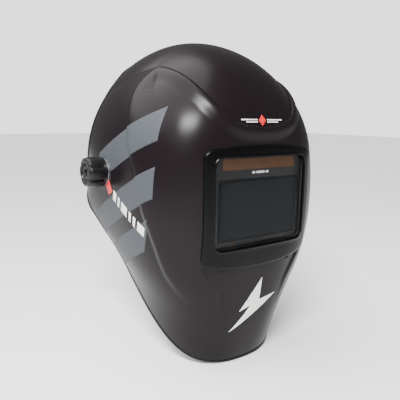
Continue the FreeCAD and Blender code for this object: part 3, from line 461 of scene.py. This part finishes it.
def outline_gap(points):
    """Distance outside the bezel's outline, arched at the top and bellied at the bottom."""
    x, z = points[..., 0], points[..., 2]
    bow = (x / BEZEL_HALF) ** 2
    dx = np.abs(x) - BEZEL_HALF + BEZEL_CORNER
    dz = np.maximum(z - BEZEL_TOP + BEZEL_ARCH * bow, BEZEL_BOTTOM + BEZEL_BELLY * bow - z) + BEZEL_CORNER
    return np.hypot(np.maximum(dx, 0), np.maximum(dz, 0)) + np.minimum(np.maximum(dx, dz), 0) - BEZEL_CORNER


def window_gap(points):
    return rounded_gap(points[..., 0], points[..., 2], WINDOW_WIDTH, WINDOW_HEIGHT, WINDOW_CORNER, WINDOW_Z)


def standing(theta, rho, height, below=False):
    """Points at a height over the shell's face with its raised details, or with its sunk ones if below."""
    angle = MIDDLE_ANGLE + rho * np.sin(theta) / ANGLE_MM
    along = rho * np.cos(theta)
    plain = surface(angle, along)
    across = surface(angle, along + 1.0) - surface(angle, along - 1.0)
    down = surface(angle + 0.4, along) - surface(angle - 0.4, along)
    normal = np.cross(across, down)
    normal /= np.linalg.norm(normal, axis=-1, keepdims=True)
    normal *= -np.sign(normal[:, 1:2])
    detail = details(plain, angle)
    detail = np.minimum(detail, 0) if below else np.maximum(detail, 0)
    return plain + normal * (detail + height)[:, None]


def build_bezel():
    turn = np.linspace(0, 2 * np.pi, 2401)
    edge = first_crossing(turn, lambda p: -window_gap(p), 5.0)
    line = ray_points(turn, edge)
    length = np.concatenate([[0], np.cumsum(np.linalg.norm(np.diff(line, axis=0), axis=1))])
    theta = np.interp(np.arange(COLUMNS) / COLUMNS, length / length[-1], turn)

    def window(offset):
        return first_crossing(theta, lambda p: offset - window_gap(p), 5.0)

    def outline(offset):
        return first_crossing(theta, lambda p: offset - outline_gap(p), 5.0)

    def flat(rho, y):
        points = ray_points(theta, rho)
        points[:, 1] = y
        return points

    opening = window(0.0)
    loops = [flat(opening, LENS_FRONT), standing(theta, opening, 3.3)]
    for offset, height in LIP_SECTION:
        loops.append(standing(theta, window(offset), height))
    start, stop = window(LIP_SECTION[-1][0]), outline(-3.2)
    for share in (0.25, 0.5, 0.75, 1.0):
        loops.append(standing(theta, start * (1 - share) + stop * share, BEZEL_STAND - 0.15 * share))
    for offset, height in EDGE_SECTION:
        loops.append(standing(theta, outline(offset), height))
    collar, rebate = window(COLLAR_GAP), window(REBATE_GAP)
    for rho in (outline(0.0), outline(-3.0), collar):
        loops.append(standing(theta, rho, BURIED, True))
    loops += [flat(collar, COLLAR_BACK), flat(rebate, COLLAR_BACK), flat(rebate, LENS_FRONT + 0.02)]
    return new_object("bezel", np.array(loops).reshape(-1, 3), ring_faces(len(loops), COLUMNS, True))


bezel = add_piece(build_bezel(), "shell", "bezel", "window_bezel")


# ---------------------------------------------------------------- behind the window
def plate(name, x0, x1, z0, z1, front, thick=0.25, corner=0.6):
    """A thin rounded plate facing forwards, its face at y = front."""
    outline = []
    for cx, cz, first in ((x1 - corner, z1 - corner, 0), (x0 + corner, z1 - corner, 90),
                          (x0 + corner, z0 + corner, 180), (x1 - corner, z0 + corner, 270)):
        for step in range(5):
            t = math.radians(first + 22.5 * step)
            outline.append((cx + corner * math.cos(t), cz + corner * math.sin(t)))
    count = len(outline)
    loops = [[(x, front + thick, z) for x, z in outline], [(x, front + 0.06, z) for x, z in outline],
             [(x * 0.999 + (x0 + x1) * 0.0005, front, z * 0.999 + (z0 + z1) * 0.0005) for x, z in outline]]
    faces = ring_faces(3, count) + [tuple(range(count)), tuple(range(2 * count, 3 * count))]
    return new_object(name, np.array(loops).reshape(-1, 3), faces, False)


# the solar strip's cells, three plain ticks below them, and the liquid crystal's glass
GLASS_FACE = -122.8
GLASS_STAND, TICK_STAND = 0.12, 0.15
CELL_COUNT, CELL_START, CELL_PITCH, CELL_WIDTH = 8, -48.4, 12.15, 11.7
CELL_HEIGHTS, TICK_HEIGHTS, CRYSTAL_HEIGHTS = (10.2, 19.8), (4.8, 7.0), (-60.5, -3.6)
TICK_SPANS = [(-10.5, -7.0), (-5.0, 6.0), (8.0, 11.5)]
CRYSTAL_HALF, CRYSTAL_CORNER = 49.5, 2.0
cells, ticks = [], []
for count in range(CELL_COUNT):
    edge = CELL_START + CELL_PITCH * count
    cell = plate("solar_cell_%d" % count, edge, edge + CELL_WIDTH, *CELL_HEIGHTS, GLASS_FACE - GLASS_STAND)
    cells.append(add_piece(cell, "shell", "solar"))
for count, span in enumerate(TICK_SPANS):
    tick = plate("tick_%d" % count, *span, *TICK_HEIGHTS, GLASS_FACE - TICK_STAND, 0.3, 0.3)
    ticks.append(add_piece(tick, "shell", "shell"))
crystal = plate("crystal", -CRYSTAL_HALF, CRYSTAL_HALF, *CRYSTAL_HEIGHTS, GLASS_FACE - GLASS_STAND,
                corner=CRYSTAL_CORNER)
add_piece(crystal, "shell", "filter_glass")


# ---------------------------------------------------------------- bosses, stop pins and screw posts inside
# their sections are pairs of radius and place along the axis, outer end first
BOSS_SECTION = [(16.0, 118.6), (16.0, 115.0), (15.2, 114.2), (6.9, 114.2), (6.1, 115.0), (6.1, 118.6)]
PIN_SECTION = [(2.5, 116.6), (2.5, 112.7), (1.9, 112.1), (0.4, 112.1)]
POST_SECTION = [(5.6, -122.0), (5.0, -118.0), (5.0, -113.5), (4.5, -113.0), (1.7, -113.0), (1.6, -116.0)]
PIN_CIRCLE, PIN_ANGLES = 21.0, (199.0, 86.0)
POST_PLACES = [(x, z) for x in (-45.0, 45.0) for z in (-89.5, 41.5)]
inner_parts = []
for side, label in ((-1, "right"), (1, "left")):
    inner_parts.append(place(turned("boss_ring_" + label, BOSS_SECTION), (0, 0, 0), (side, 0, 0)))
    for count, angle in enumerate(PIN_ANGLES):
        y = -math.cos(math.radians(angle)) * PIN_CIRCLE
        z = math.sin(math.radians(angle)) * PIN_CIRCLE
        pin = turned("stop_pin_%s_%d" % (label, count), PIN_SECTION, 24, None, False)
        inner_parts.append(place(pin, (0, y, z), (side, 0, 0)))
for count, (x, z) in enumerate(POST_PLACES):
    inner_parts.append(place(turned("screw_post_%d" % count, POST_SECTION, 32), (x, 0, z), (0, 1, 0)))
for part in inner_parts:
    add_piece(part, "shell", "shell")


# ---------------------------------------------------------------- tension knobs
LOBES, FLUTE_DEPTH, LOBE_CROWN = 6, 2.3, 0.35


def lobed(turn, radius, x):
    """Rounded lobes parted by narrow flutes, fading out towards the knob's middle."""
    flute = np.abs((turn * LOBES / (2 * np.pi) + 0.5) % 1 - 0.5) * 2
    depth = FLUTE_DEPTH * (1 - smooth(0.0, 0.34, flute)) + LOBE_CROWN * (1 - smooth(0.2, 1.0, flute))
    return radius - depth * smooth(11.5, 15.5, radius) * smooth(122.8, 124.6, x)


KNOB_SECTION = [(7.6, 121.6), (15.4, 121.6), (16.1, 121.9), (16.3, 122.6), (16.2, 123.6), (16.3, 124.6),
                (16.6, 126.0), (16.8, 128.5), (16.8, 134.0), (16.7, 137.5), (16.4, 139.4),
                (15.8, 140.8), (14.8, 141.7), (13.4, 142.0), (11.9, 141.9), (11.2, 141.4),
                (10.9, 140.4), (10.8, 139.8), (10.2, 139.5), (8.2, 139.5), (7.8, 139.8), (7.4, 140.6),
                (6.8, 140.9), (5.0, 140.9), (4.4, 140.6), (4.1, 139.8), (4.1, 128.0), (7.6, 127.6)]
knobs = []
for side, label in ((-1, "right"), (1, "left")):
    knob = place(turned("knob_" + label, KNOB_SECTION, 192, lobed), (0, 0, 0), (side, 0, 0))
    knobs.append(add_piece(knob, "tension_knob_" + label, "black_plastic", "tension_knob_" + label))


# ---------------------------------------------------------------- padding of the headgear
BAND_PLACE = (28.0, 24.0)                # y and z of the headgear's middle
BAND_HALF_WIDTH, BAND_HALF_LENGTH = 80.0, 92.0
PAD_STEPS, PAD_AROUND = 181, 72
END_SHARE = 0.93                         # a pad's ends are rounded off beyond this share of its half length
END_HEIGHT, END_THICKNESS = 0.62, 0.30   # what is left of a pad at its very ends
CHANNEL_DEPTH, SEAM_DEPTH = 0.42, 0.34
FILLING_WAVE = 0.16                      # unevenness of the filling, in millimetres
FULL_TURN = 6.283
STITCH_HEIGHT = 0.78                     # place of the long seams, as a share of the pad's half height
STITCH_SIDES = 8


def band_point(turn, grow, lift, tilt, power, forward):
    """A place on the headgear's band: grow is outwards from its inner face, lift along its height."""
    c, s = math.cos(turn), math.sin(turn)
    x = (BAND_HALF_WIDTH + grow) * math.copysign(abs(c) ** (2 / power), c)
    y = (BAND_HALF_LENGTH + grow) * abs(s) ** (2 / power) * (-1 if forward else 1)
    a = math.radians(tilt)
    return np.array([x, BAND_PLACE[0] + y * math.cos(a) + lift * math.sin(a),
                     BAND_PLACE[1] - y * math.sin(a) + lift * math.cos(a)])


def soft_band(name, tilt, power, start, stop, outer, depth, half, forward, channels):
    """A padded strip lying against the inside of a band: flat outside, crowned inside, sewn across."""
    loops, seams = [], []
    for i in range(PAD_STEPS):
        share = i / (PAD_STEPS - 1)
        turn = math.radians(start + (stop - start) * share)
        end = max(abs(2 * share - 1) - END_SHARE, 0) / (1 - END_SHARE)
        round_off = math.sqrt(max(1 - end * end, 0))
        tall = half * (END_HEIGHT + (1 - END_HEIGHT) * round_off)
        fold = abs((share * channels) % 1 - 0.5) * 2           # 1 on a sewn channel, 0 between two
        puff = (1 - CHANNEL_DEPTH * fold ** 7) * (END_THICKNESS + (1 - END_THICKNESS) * round_off)
        loop = []
        for k in range(PAD_AROUND):
            t = 2 * math.pi * k / PAD_AROUND
            c, s = math.cos(t), math.sin(t)
            flat = 9.0 if c > 0 else 2.4
            d = depth / 2 - depth / 2 * math.copysign(abs(c) ** (2 / flat), c)
            h = tall * math.copysign(abs(s) ** (2 / 3.4), s)
            crown = 1 - SEAM_DEPTH * math.exp(-((abs(h) / tall - 0.80) / 0.055) ** 2)
            ripple = (math.sin(23.0 * share * FULL_TURN + 2.0 * h / tall)
                      * math.sin(9.0 * share * FULL_TURN + 1.3))
            if c < 0:
                d = d * puff * crown + FILLING_WAVE * ripple * (1 - fold) * round_off
            loop.append(band_point(turn, outer - max(d, 0.0), h, tilt, power, forward))
        loops.append(loop)
    points = np.array(loops)
    faces = [tuple(reversed(face)) for face in ring_faces(PAD_STEPS, PAD_AROUND)]
    faces += [tuple(range(PAD_AROUND)), tuple(range((PAD_STEPS - 1) * PAD_AROUND, PAD_STEPS * PAD_AROUND))]
    pad = new_object(name, points.reshape(-1, 3), faces)
    # rows of stitches in the two long seams, on the face towards the head
    middle = points[PAD_STEPS // 2]
    head_side = [k for k in range(PAD_AROUND) if math.cos(2 * math.pi * k / PAD_AROUND) <= -0.2]
    for sign in (-1, 1):
        height = middle[:, 2].mean() + sign * STITCH_HEIGHT * half
        seam = min(head_side, key=lambda k: abs(middle[k][2] - height))
        seams.append(points[6:-6, seam])
    return pad, seams


def stitches(name, seams, length=2.6, pitch=4.2, radius=0.42):
    """Thread stitches lying in the seams, each a short rounded bead."""
    points, faces = [], []
    for seam in seams:
        run = np.concatenate([[0], np.cumsum(np.linalg.norm(np.diff(seam, axis=0), axis=1))])
        for begin in np.arange(1.0, run[-1] - length, pitch):
            rings = []
            for offset, scale in ((0, 0.25), (0.35, 0.85), (length / 2, 1.0), (length - 0.35, 0.85),
                                  (length, 0.25)):
                at = [np.interp(begin + offset, run, seam[:, axis]) for axis in range(3)]
                rings.append((np.array(at), radius * scale))
            along = rings[-1][0] - rings[0][0]
            along /= np.linalg.norm(along)
            side = np.cross(along, (0.0, 0.0, 1.0))
            side /= np.linalg.norm(side)
            lift = np.cross(side, along)
            base = len(points)
            for centre, r in rings:
                for k in range(STITCH_SIDES):
                    t = 2 * math.pi * k / STITCH_SIDES
                    points.append(centre + side * r * math.cos(t) + lift * r * math.sin(t))
            faces += [tuple(base + index for index in face) for face in ring_faces(len(rings), STITCH_SIDES)]
            last = base + (len(rings) - 1) * STITCH_SIDES
            faces += [tuple(first + k for k in range(STITCH_SIDES)) for first in (base, last)]
    return new_object(name, points, faces)


sweat_pad, sweat_seams = soft_band("sweatband_pad", 12.0, 2.0, 28.0, 152.0, -0.15, 6.2, 16.8, True, 12)
add_piece(sweat_pad, "headgear", "padding", "sweatband")
back_pad, back_seams = soft_band("rear_cushion", 24.0, 2.6, 62.0, 118.0, -6.5, 6.9, 14.8, False, 5)
add_piece(back_pad, "headgear", "padding", "rear_pad")
threads = [add_piece(stitches("sweatband_stitches", sweat_seams), "headgear", "padding"),
           add_piece(stitches("rear_cushion_stitches", back_seams), "headgear", "padding")]


# ---------------------------------------------------------------- printed decoration
STRIPE_LIFT, BAR_LIFT, FRONT_LIFT = 0.22, 0.34, 0.3     # how far the films stand off the shell
FILM_THICK = 0.0003                                      # metres
CUT_MARGIN = 6              # room round an outline, so that the cut and not the grid ends a patch
SIDE_START, FRONT_END = 30, -40


def shell_patch(planes, keep, lift=STRIPE_LIFT):
    """A thin film on the shell's outer face, cut by planes given as a point and the normal of what goes."""
    rows = ROWS - 3
    index = -np.ones((rows, COLUMNS), int)
    inside = keep(SHELL_OUTER[:rows])
    mesh = bmesh.new()
    for i in range(rows - 1):
        for j in np.nonzero(inside[i] & inside[i + 1])[0]:
            nxt = (j + 1) % COLUMNS
            if not (inside[i, nxt] and inside[i + 1, nxt]):
                continue
            corners = []
            for a, b in ((i, j), (i, nxt), (i + 1, nxt), (i + 1, j)):
                if index[a, b] < 0:
                    index[a, b] = len(mesh.verts)
                    mesh.verts.new(SHELL_OUTER[a, b] + SHELL_NORMAL[a, b] * lift)
                    mesh.verts.ensure_lookup_table()
                corners.append(mesh.verts[index[a, b]])
            mesh.faces.new(corners)
    for point, normal in planes:
        everything = list(mesh.verts) + list(mesh.edges) + list(mesh.faces)
        bmesh.ops.bisect_plane(mesh, geom=everything, plane_co=point, plane_no=normal, clear_outer=True)
    return mesh


def film(name, meshes):
    """Join cut patches to one piece, and give it a thickness that reaches down to the shell."""
    points, faces = [], []
    for mesh in meshes:
        mesh.verts.index_update()
        start = len(points)
        points += [tuple(v.co) for v in mesh.verts]
        faces += [tuple(start + v.index for v in face.verts) for face in mesh.faces]
        mesh.free()
    obj = new_object(name, points, faces)
    tidy_normals(obj)
    thick = obj.modifiers.new("film", "SOLIDIFY")
    thick.thickness = FILM_THICK
    thick.offset = -1.0
    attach(obj, "shell")
    return obj


def outline_cut(axis, corners, facing):
    """Planes that cut a convex outline, and the area round it; its corners are (axis, z) pairs in order."""
    def point(a, z):
        place_of = [0, 0, z]
        place_of[axis] = a
        return Vector(place_of)

    centre = np.mean(corners, axis=0)
    planes = []
    for (a0, z0), (a1, z1) in zip(corners, corners[1:] + corners[:1]):
        normal = np.array([z1 - z0, a0 - a1])
        if normal @ (centre - np.array([a0, z0])) > 0:
            normal = -normal
        planes.append((point(a0, z0), point(*normal)))
    low = np.min(corners, axis=0) - CUT_MARGIN
    high = np.max(corners, axis=0) + CUT_MARGIN

    def keep(points):
        a, z = points[..., axis], points[..., 2]
        return facing(points) & (a > low[0]) & (a < high[0]) & (z > low[1]) & (z < high[1])
    return planes, keep


def side_quad(side, corners):
    """An outline given in side view, as (y, z) corners."""
    return outline_cut(1, corners, lambda points: points[..., 0] * side > SIDE_START)


def front_quad(corners):
    """An outline given in front view, as (x, z) corners."""
    return outline_cut(0, corners, lambda points: points[..., 1] < FRONT_END)


STRIPE_SLOPE = -0.51                     # rise over run of the side stripes, towards the rear
# upper and lower edge of each stripe where y is 0, and y at its rear end
STRIPES = [(27.6, -7.0, 16.0), (-33.0, -64.0, 40.0), (-82.0, -112.0, 40.0)]
SIDE_FRONT = [(-85.0, 71.0), (-93.0, -10.0), (-76.0, -62.0), (-40.0, -146.0)]


def front_of_stripe(height):
    """Where the stripe line z = height + slope * y meets the stripes' raked front edge."""
    for (y0, z0), (y1, z1) in zip(SIDE_FRONT, SIDE_FRONT[1:]):
        f0 = z0 - height - STRIPE_SLOPE * y0
        f1 = z1 - height - STRIPE_SLOPE * y1
        if f0 >= 0 >= f1:
            share = f0 / (f0 - f1)
            return y0 + share * (y1 - y0)
    return SIDE_FRONT[0][0] if height > 0 else SIDE_FRONT[-1][0]


# the row of bars starts behind the knob and runs forwards and down; begin and end of each bar along it
BAR_START, BAR_RISE = np.array([-21.0, -23.0]), np.array([-0.30, 0.954])
BAR_RUN = np.array([-55.0, -33.5]) / math.hypot(55.0, 33.5)
BAR_HEIGHT = 10.5
BARS = [(0, 7), (11, 15), (19, 31), (35, 39), (43, 47), (51, 62)]
SIDE_CHIP = [(-3.0, -11.0), (-10.0, -25.0), (-19.0, -20.5), (-12.0, -6.5)]
BOLT = [[(10.0, -111.0), (-18.0, -146.0), (-2.0, -141.0), (9.0, -137.0)],
        [(9.0, -137.0), (34.0, -134.0), (-27.0, -170.0), (-2.0, -141.0)]]
# the forehead's lines (two x, then two z) and the diamond between them
LINES = [(-27.0, -6.0, 58.4, 59.6), (7.0, 28.0, 58.4, 59.6),
         (-21.0, -6.0, 56.2, 57.2), (7.0, 22.0, 56.2, 57.2)]
DIAMOND = [(0.5, 64.0), (-4.5, 58.3), (0.5, 52.6), (5.5, 58.3)]

stripes, bars, chips = [], [], []
for side, label in ((-1, "right"), (1, "left")):
    patches = []
    for high, low, rear in STRIPES:
        ends = ((front_of_stripe(high), high), (rear, high), (rear, low), (front_of_stripe(low), low))
        corners = [(y, height + STRIPE_SLOPE * y) for y, height in ends]
        patches.append(shell_patch(*side_quad(side, corners)))
    stripes.append(film("side_stripes_" + label, patches))
    half = BAR_RISE * BAR_HEIGHT / 2
    patches = []
    for begin, end in BARS:
        a, b = BAR_START + BAR_RUN * begin, BAR_START + BAR_RUN * end
        corners = [tuple(a - half), tuple(b - half), tuple(b + half), tuple(a + half)]
        patches.append(shell_patch(*side_quad(side, corners), lift=BAR_LIFT))
    bars.append(film("side_bars_" + label, patches))
    chips.append(film("side_chip_" + label, [shell_patch(*side_quad(side, SIDE_CHIP), lift=BAR_LIFT)]))

forehead = [[(x0, z1), (x1, z1), (x1, z0), (x0, z0)] for x0, x1, z0, z1 in LINES]
chin_mark, forehead_lines, forehead_chip = [
    film(name, [shell_patch(*front_quad(quad), lift=FRONT_LIFT) for quad in quads])
    for name, quads in (("chin_bolt", BOLT), ("forehead_lines", forehead), ("forehead_chip", [DIAMOND]))]


# ---------------------------------------------------------------- materials
PATCH_SCALE, PATCH_DETAIL, FINE_DETAIL = 22.0, 6.0, 3.0
TINT_SPREAD = 0.12          # how much darker and lighter the colour gets
GRAIN_HEIGHT = 0.0003       # metres


def material(name, colour, rough, metal=0.0, grain=0.0, grain_scale=900.0, uneven=0.04, specular=0.5):
    """Moulded plastic or metal: uneven roughness and a fine grain, both from noise in object space."""
    m = bpy.data.materials.new(name)
    m.use_nodes = True
    nodes, links = m.node_tree.nodes, m.node_tree.links
    shader = nodes["Principled BSDF"]
    shader.inputs["Metallic"].default_value = metal
    shader.inputs["Specular IOR Level"].default_value = specular
    coords = nodes.new("ShaderNodeTexCoord")
    patches = nodes.new("ShaderNodeTexNoise")
    patches.inputs["Scale"].default_value = PATCH_SCALE
    patches.inputs["Detail"].default_value = PATCH_DETAIL
    links.new(coords.outputs["Object"], patches.inputs["Vector"])
    spread = nodes.new("ShaderNodeMapRange")
    spread.inputs["To Min"].default_value = max(rough - uneven, 0.02)
    spread.inputs["To Max"].default_value = min(rough + uneven, 1.0)
    links.new(patches.outputs["Fac"], spread.inputs["Value"])
    links.new(spread.outputs["Result"], shader.inputs["Roughness"])
    tint = nodes.new("ShaderNodeMix")
    tint.data_type = "RGBA"
    tint.inputs["A"].default_value = (*[c * (1 - TINT_SPREAD) for c in colour], 1)
    tint.inputs["B"].default_value = (*[min(c * (1 + TINT_SPREAD), 1) for c in colour], 1)
    links.new(patches.outputs["Fac"], tint.inputs["Factor"])
    links.new(tint.outputs["Result"], shader.inputs["Base Color"])
    if grain:
        fine = nodes.new("ShaderNodeTexNoise")
        fine.inputs["Scale"].default_value = grain_scale
        fine.inputs["Detail"].default_value = FINE_DETAIL
        links.new(coords.outputs["Object"], fine.inputs["Vector"])
        bump = nodes.new("ShaderNodeBump")
        bump.inputs["Strength"].default_value = grain
        bump.inputs["Distance"].default_value = GRAIN_HEIGHT
        links.new(fine.outputs["Fac"], bump.inputs["Height"])
        links.new(bump.outputs["Normal"], shader.inputs["Normal"])
    return m


def paint(obj, *materials):
    obj.data.materials.clear()
    for m in materials:
        obj.data.materials.append(m)


shell_paint = material("shell_plastic", (0.0062, 0.0042, 0.0053), 0.30, grain=0.05, specular=0.13)
rim_paint = material("rim_plastic", (0.004, 0.004, 0.0045), 0.42, grain=0.10, specular=0.18)
black = material("black_plastic", (0.0035, 0.0035, 0.0038), 0.36, grain=0.10, specular=0.26)
bezel_paint = material("bezel_plastic", (0.0016, 0.0016, 0.0019), 0.26, grain=0.04, specular=0.10)
band_paint = material("band_plastic", (0.012, 0.012, 0.013), 0.40, grain=0.08)
grey_print = material("grey_print", (0.62, 0.62, 0.62), 0.5, grain=0.02)
crystal_glass = material("crystal_glass", (0.0062, 0.0072, 0.0088), 0.12, uneven=0.02, specular=0.05)
slate = material("slate_print", (0.046, 0.051, 0.058), 0.50, grain=0.04, specular=0.18)
white_print = material("white_print", (0.78, 0.77, 0.74), 0.50, grain=0.03)
red_print = material("red_print", (0.60, 0.012, 0.012), 0.45, grain=0.03)
steel = material("zinc_steel", (0.55, 0.55, 0.56), 0.30, metal=1.0, grain=0.05)
brass = material("turned_brass", (0.62, 0.45, 0.20), 0.28, metal=1.0, grain=0.05)
rubber = material("rubber", (0.012, 0.012, 0.012), 0.7, grain=0.2)
red = material("red_plastic", (0.42, 0.02, 0.02), 0.35, grain=0.08)
cloth = material("towelling", (0.025, 0.025, 0.028), 0.9, grain=0.6, grain_scale=1400)
thread = material("thread", (0.16, 0.16, 0.17), 0.8, grain=0.3, grain_scale=2400)
amber = material("solar_cell", (0.085, 0.040, 0.018), 0.30, grain=0.03, specular=0.10)
dark_glass = material("filter_glass", (0.0012, 0.0014, 0.0018), 0.10, uneven=0.02, specular=0.06)

paint(shell_obj, shell_paint, rim_paint)
for index in bead_faces:
    shell_obj.data.polygons[index].material_index = 1

clear = bpy.data.materials.new("clear_lens")
clear.use_nodes = True
clear_shader = clear.node_tree.nodes["Principled BSDF"]
clear_shader.inputs["Base Color"].default_value = (0.012, 0.014, 0.016, 1)
clear_shader.inputs["Roughness"].default_value = 0.06
clear_shader.inputs["Alpha"].default_value = 0.07
clear_shader.inputs["Specular IOR Level"].default_value = 0.35

SLOT_PAINT = {"shell": shell_paint, "bezel": bezel_paint, "black_plastic": black, "rubber": rubber,
              "band_plastic": band_paint, "clear_lens": clear, "filter_glass": dark_glass, "solar": amber,
              "steel": steel, "brass": brass, "padding": cloth, "accent": red}
SLOT_OF = {entry["node"]: entry["material_slot"] for entry in frame["record"]["subparts"]}
for node_name, node in frame["nodes"].items():
    paint(node, SLOT_PAINT[SLOT_OF[node_name]])
    if SLOT_OF[node_name] not in ("clear_lens", "filter_glass", "solar"):
        edge = node.modifiers.new("edges", "BEVEL")
        edge.width = 0.0004
        edge.segments = 2
        edge.limit_method = "ANGLE"
        edge.angle_limit = math.radians(40)
# the inner lens lies on the dark filter, which is what shows through it
inner_glass = material("inner_glass", (0.0040, 0.0046, 0.0055), 0.16, uneven=0.02, specular=0.30)
paint(frame["nodes"]["inner_lens"], inner_glass)
PIECE_PAINT = [([bezel], bezel_paint), (cells, amber), (ticks, grey_print), ([crystal], crystal_glass),
               ([sweat_pad, back_pad], cloth), (threads, thread), (inner_parts, rim_paint), (knobs, black),
               (stripes, slate), (bars + [chin_mark, forehead_lines], white_print),
               (chips + [forehead_chip], red_print)]
for pieces, piece_paint in PIECE_PAINT:
    for part in pieces:
        paint(part, piece_paint)


# ---------------------------------------------------------------- stage, lights and camera
FLOOR_DROP = 0.0028         # the rim's bead hangs almost this far below the CAD box
SEEN_LEVEL, LIGHT_LEVEL = 2.15, 0.26
SUN_POWER, SUN_ANGLE, SUN_AIM = 4.8, 70, (0.45, -0.35, -1.0)
SOFTBOX_PLACE, SOFTBOX_TARGET = Vector((-0.58, -0.60, 0.72)), Vector((-0.05, -0.06, 0.06))
SOFTBOX_POWER, SOFTBOX_SIZE = 32, (0.42, 0.16)
LENS, SENSOR = 41.4, 36.0
YAW, PITCH, ROLL = map(math.radians, (-35.13, 10.38, 0.84))
CAMERA_PLACE = Vector((-323.5, -475.2, 62.1)) * MM


def add_light(name, kind, power, aim):
    data = bpy.data.lights.new(name, kind)
    data.energy = power
    obj = bpy.data.objects.new(name, data)
    bpy.context.scene.collection.objects.link(obj)
    obj.rotation_euler = Vector(aim).to_track_quat("-Z", "Y").to_euler()
    return obj


bpy.ops.mesh.primitive_plane_add(size=12, location=(0, 0, CAD_BOX[0][2] - FLOOR_DROP))
floor = bpy.context.object
floor.name = "floor"
floor_paint = bpy.data.materials.new("studio_floor")
floor_paint.use_nodes = True
floor_shader = floor_paint.node_tree.nodes["Principled BSDF"]
floor_shader.inputs["Base Color"].default_value = (0.93, 0.93, 0.93, 1)
floor_shader.inputs["Roughness"].default_value = 0.8
paint(floor, floor_paint)

world = bpy.data.worlds.new("studio")
bpy.context.scene.world = world
world.use_nodes = True
# the backdrop is as bright as the floor to the eye, and a dimmer white as a source of light
sky = world.node_tree
seen = sky.nodes.new("ShaderNodeLightPath")
level = sky.nodes.new("ShaderNodeMapRange")
level.inputs["To Min"].default_value = LIGHT_LEVEL
level.inputs["To Max"].default_value = SEEN_LEVEL
sky.nodes["Background"].inputs["Color"].default_value = (1, 1, 1, 1)
sky.links.new(seen.outputs["Is Camera Ray"], level.inputs["Value"])
sky.links.new(level.outputs["Result"], sky.nodes["Background"].inputs["Strength"])

sun = add_light("overhead", "SUN", SUN_POWER, SUN_AIM)
sun.data.angle = math.radians(SUN_ANGLE)
softbox = add_light("shoulder", "AREA", SOFTBOX_POWER, SOFTBOX_TARGET - SOFTBOX_PLACE)
softbox.location = SOFTBOX_PLACE
softbox.data.shape = "RECTANGLE"
softbox.data.size, softbox.data.size_y = SOFTBOX_SIZE

camera_data = bpy.data.cameras.new("camera")
camera_data.lens = LENS
camera_data.sensor_width = SENSOR
camera = bpy.data.objects.new("camera", camera_data)
bpy.context.scene.collection.objects.link(camera)
bpy.context.scene.camera = camera
back = Vector((math.sin(YAW) * math.cos(PITCH), -math.cos(YAW) * math.cos(PITCH), math.sin(PITCH)))
right = Vector((0, 0, 1)).cross(back).normalized()
up = back.cross(right)
right, up = (right * math.cos(ROLL) + up * math.sin(ROLL), up * math.cos(ROLL) - right * math.sin(ROLL))
pose = Matrix((right, up, back)).transposed().to_4x4()
pose.translation = CAMERA_PLACE
camera.matrix_world = pose
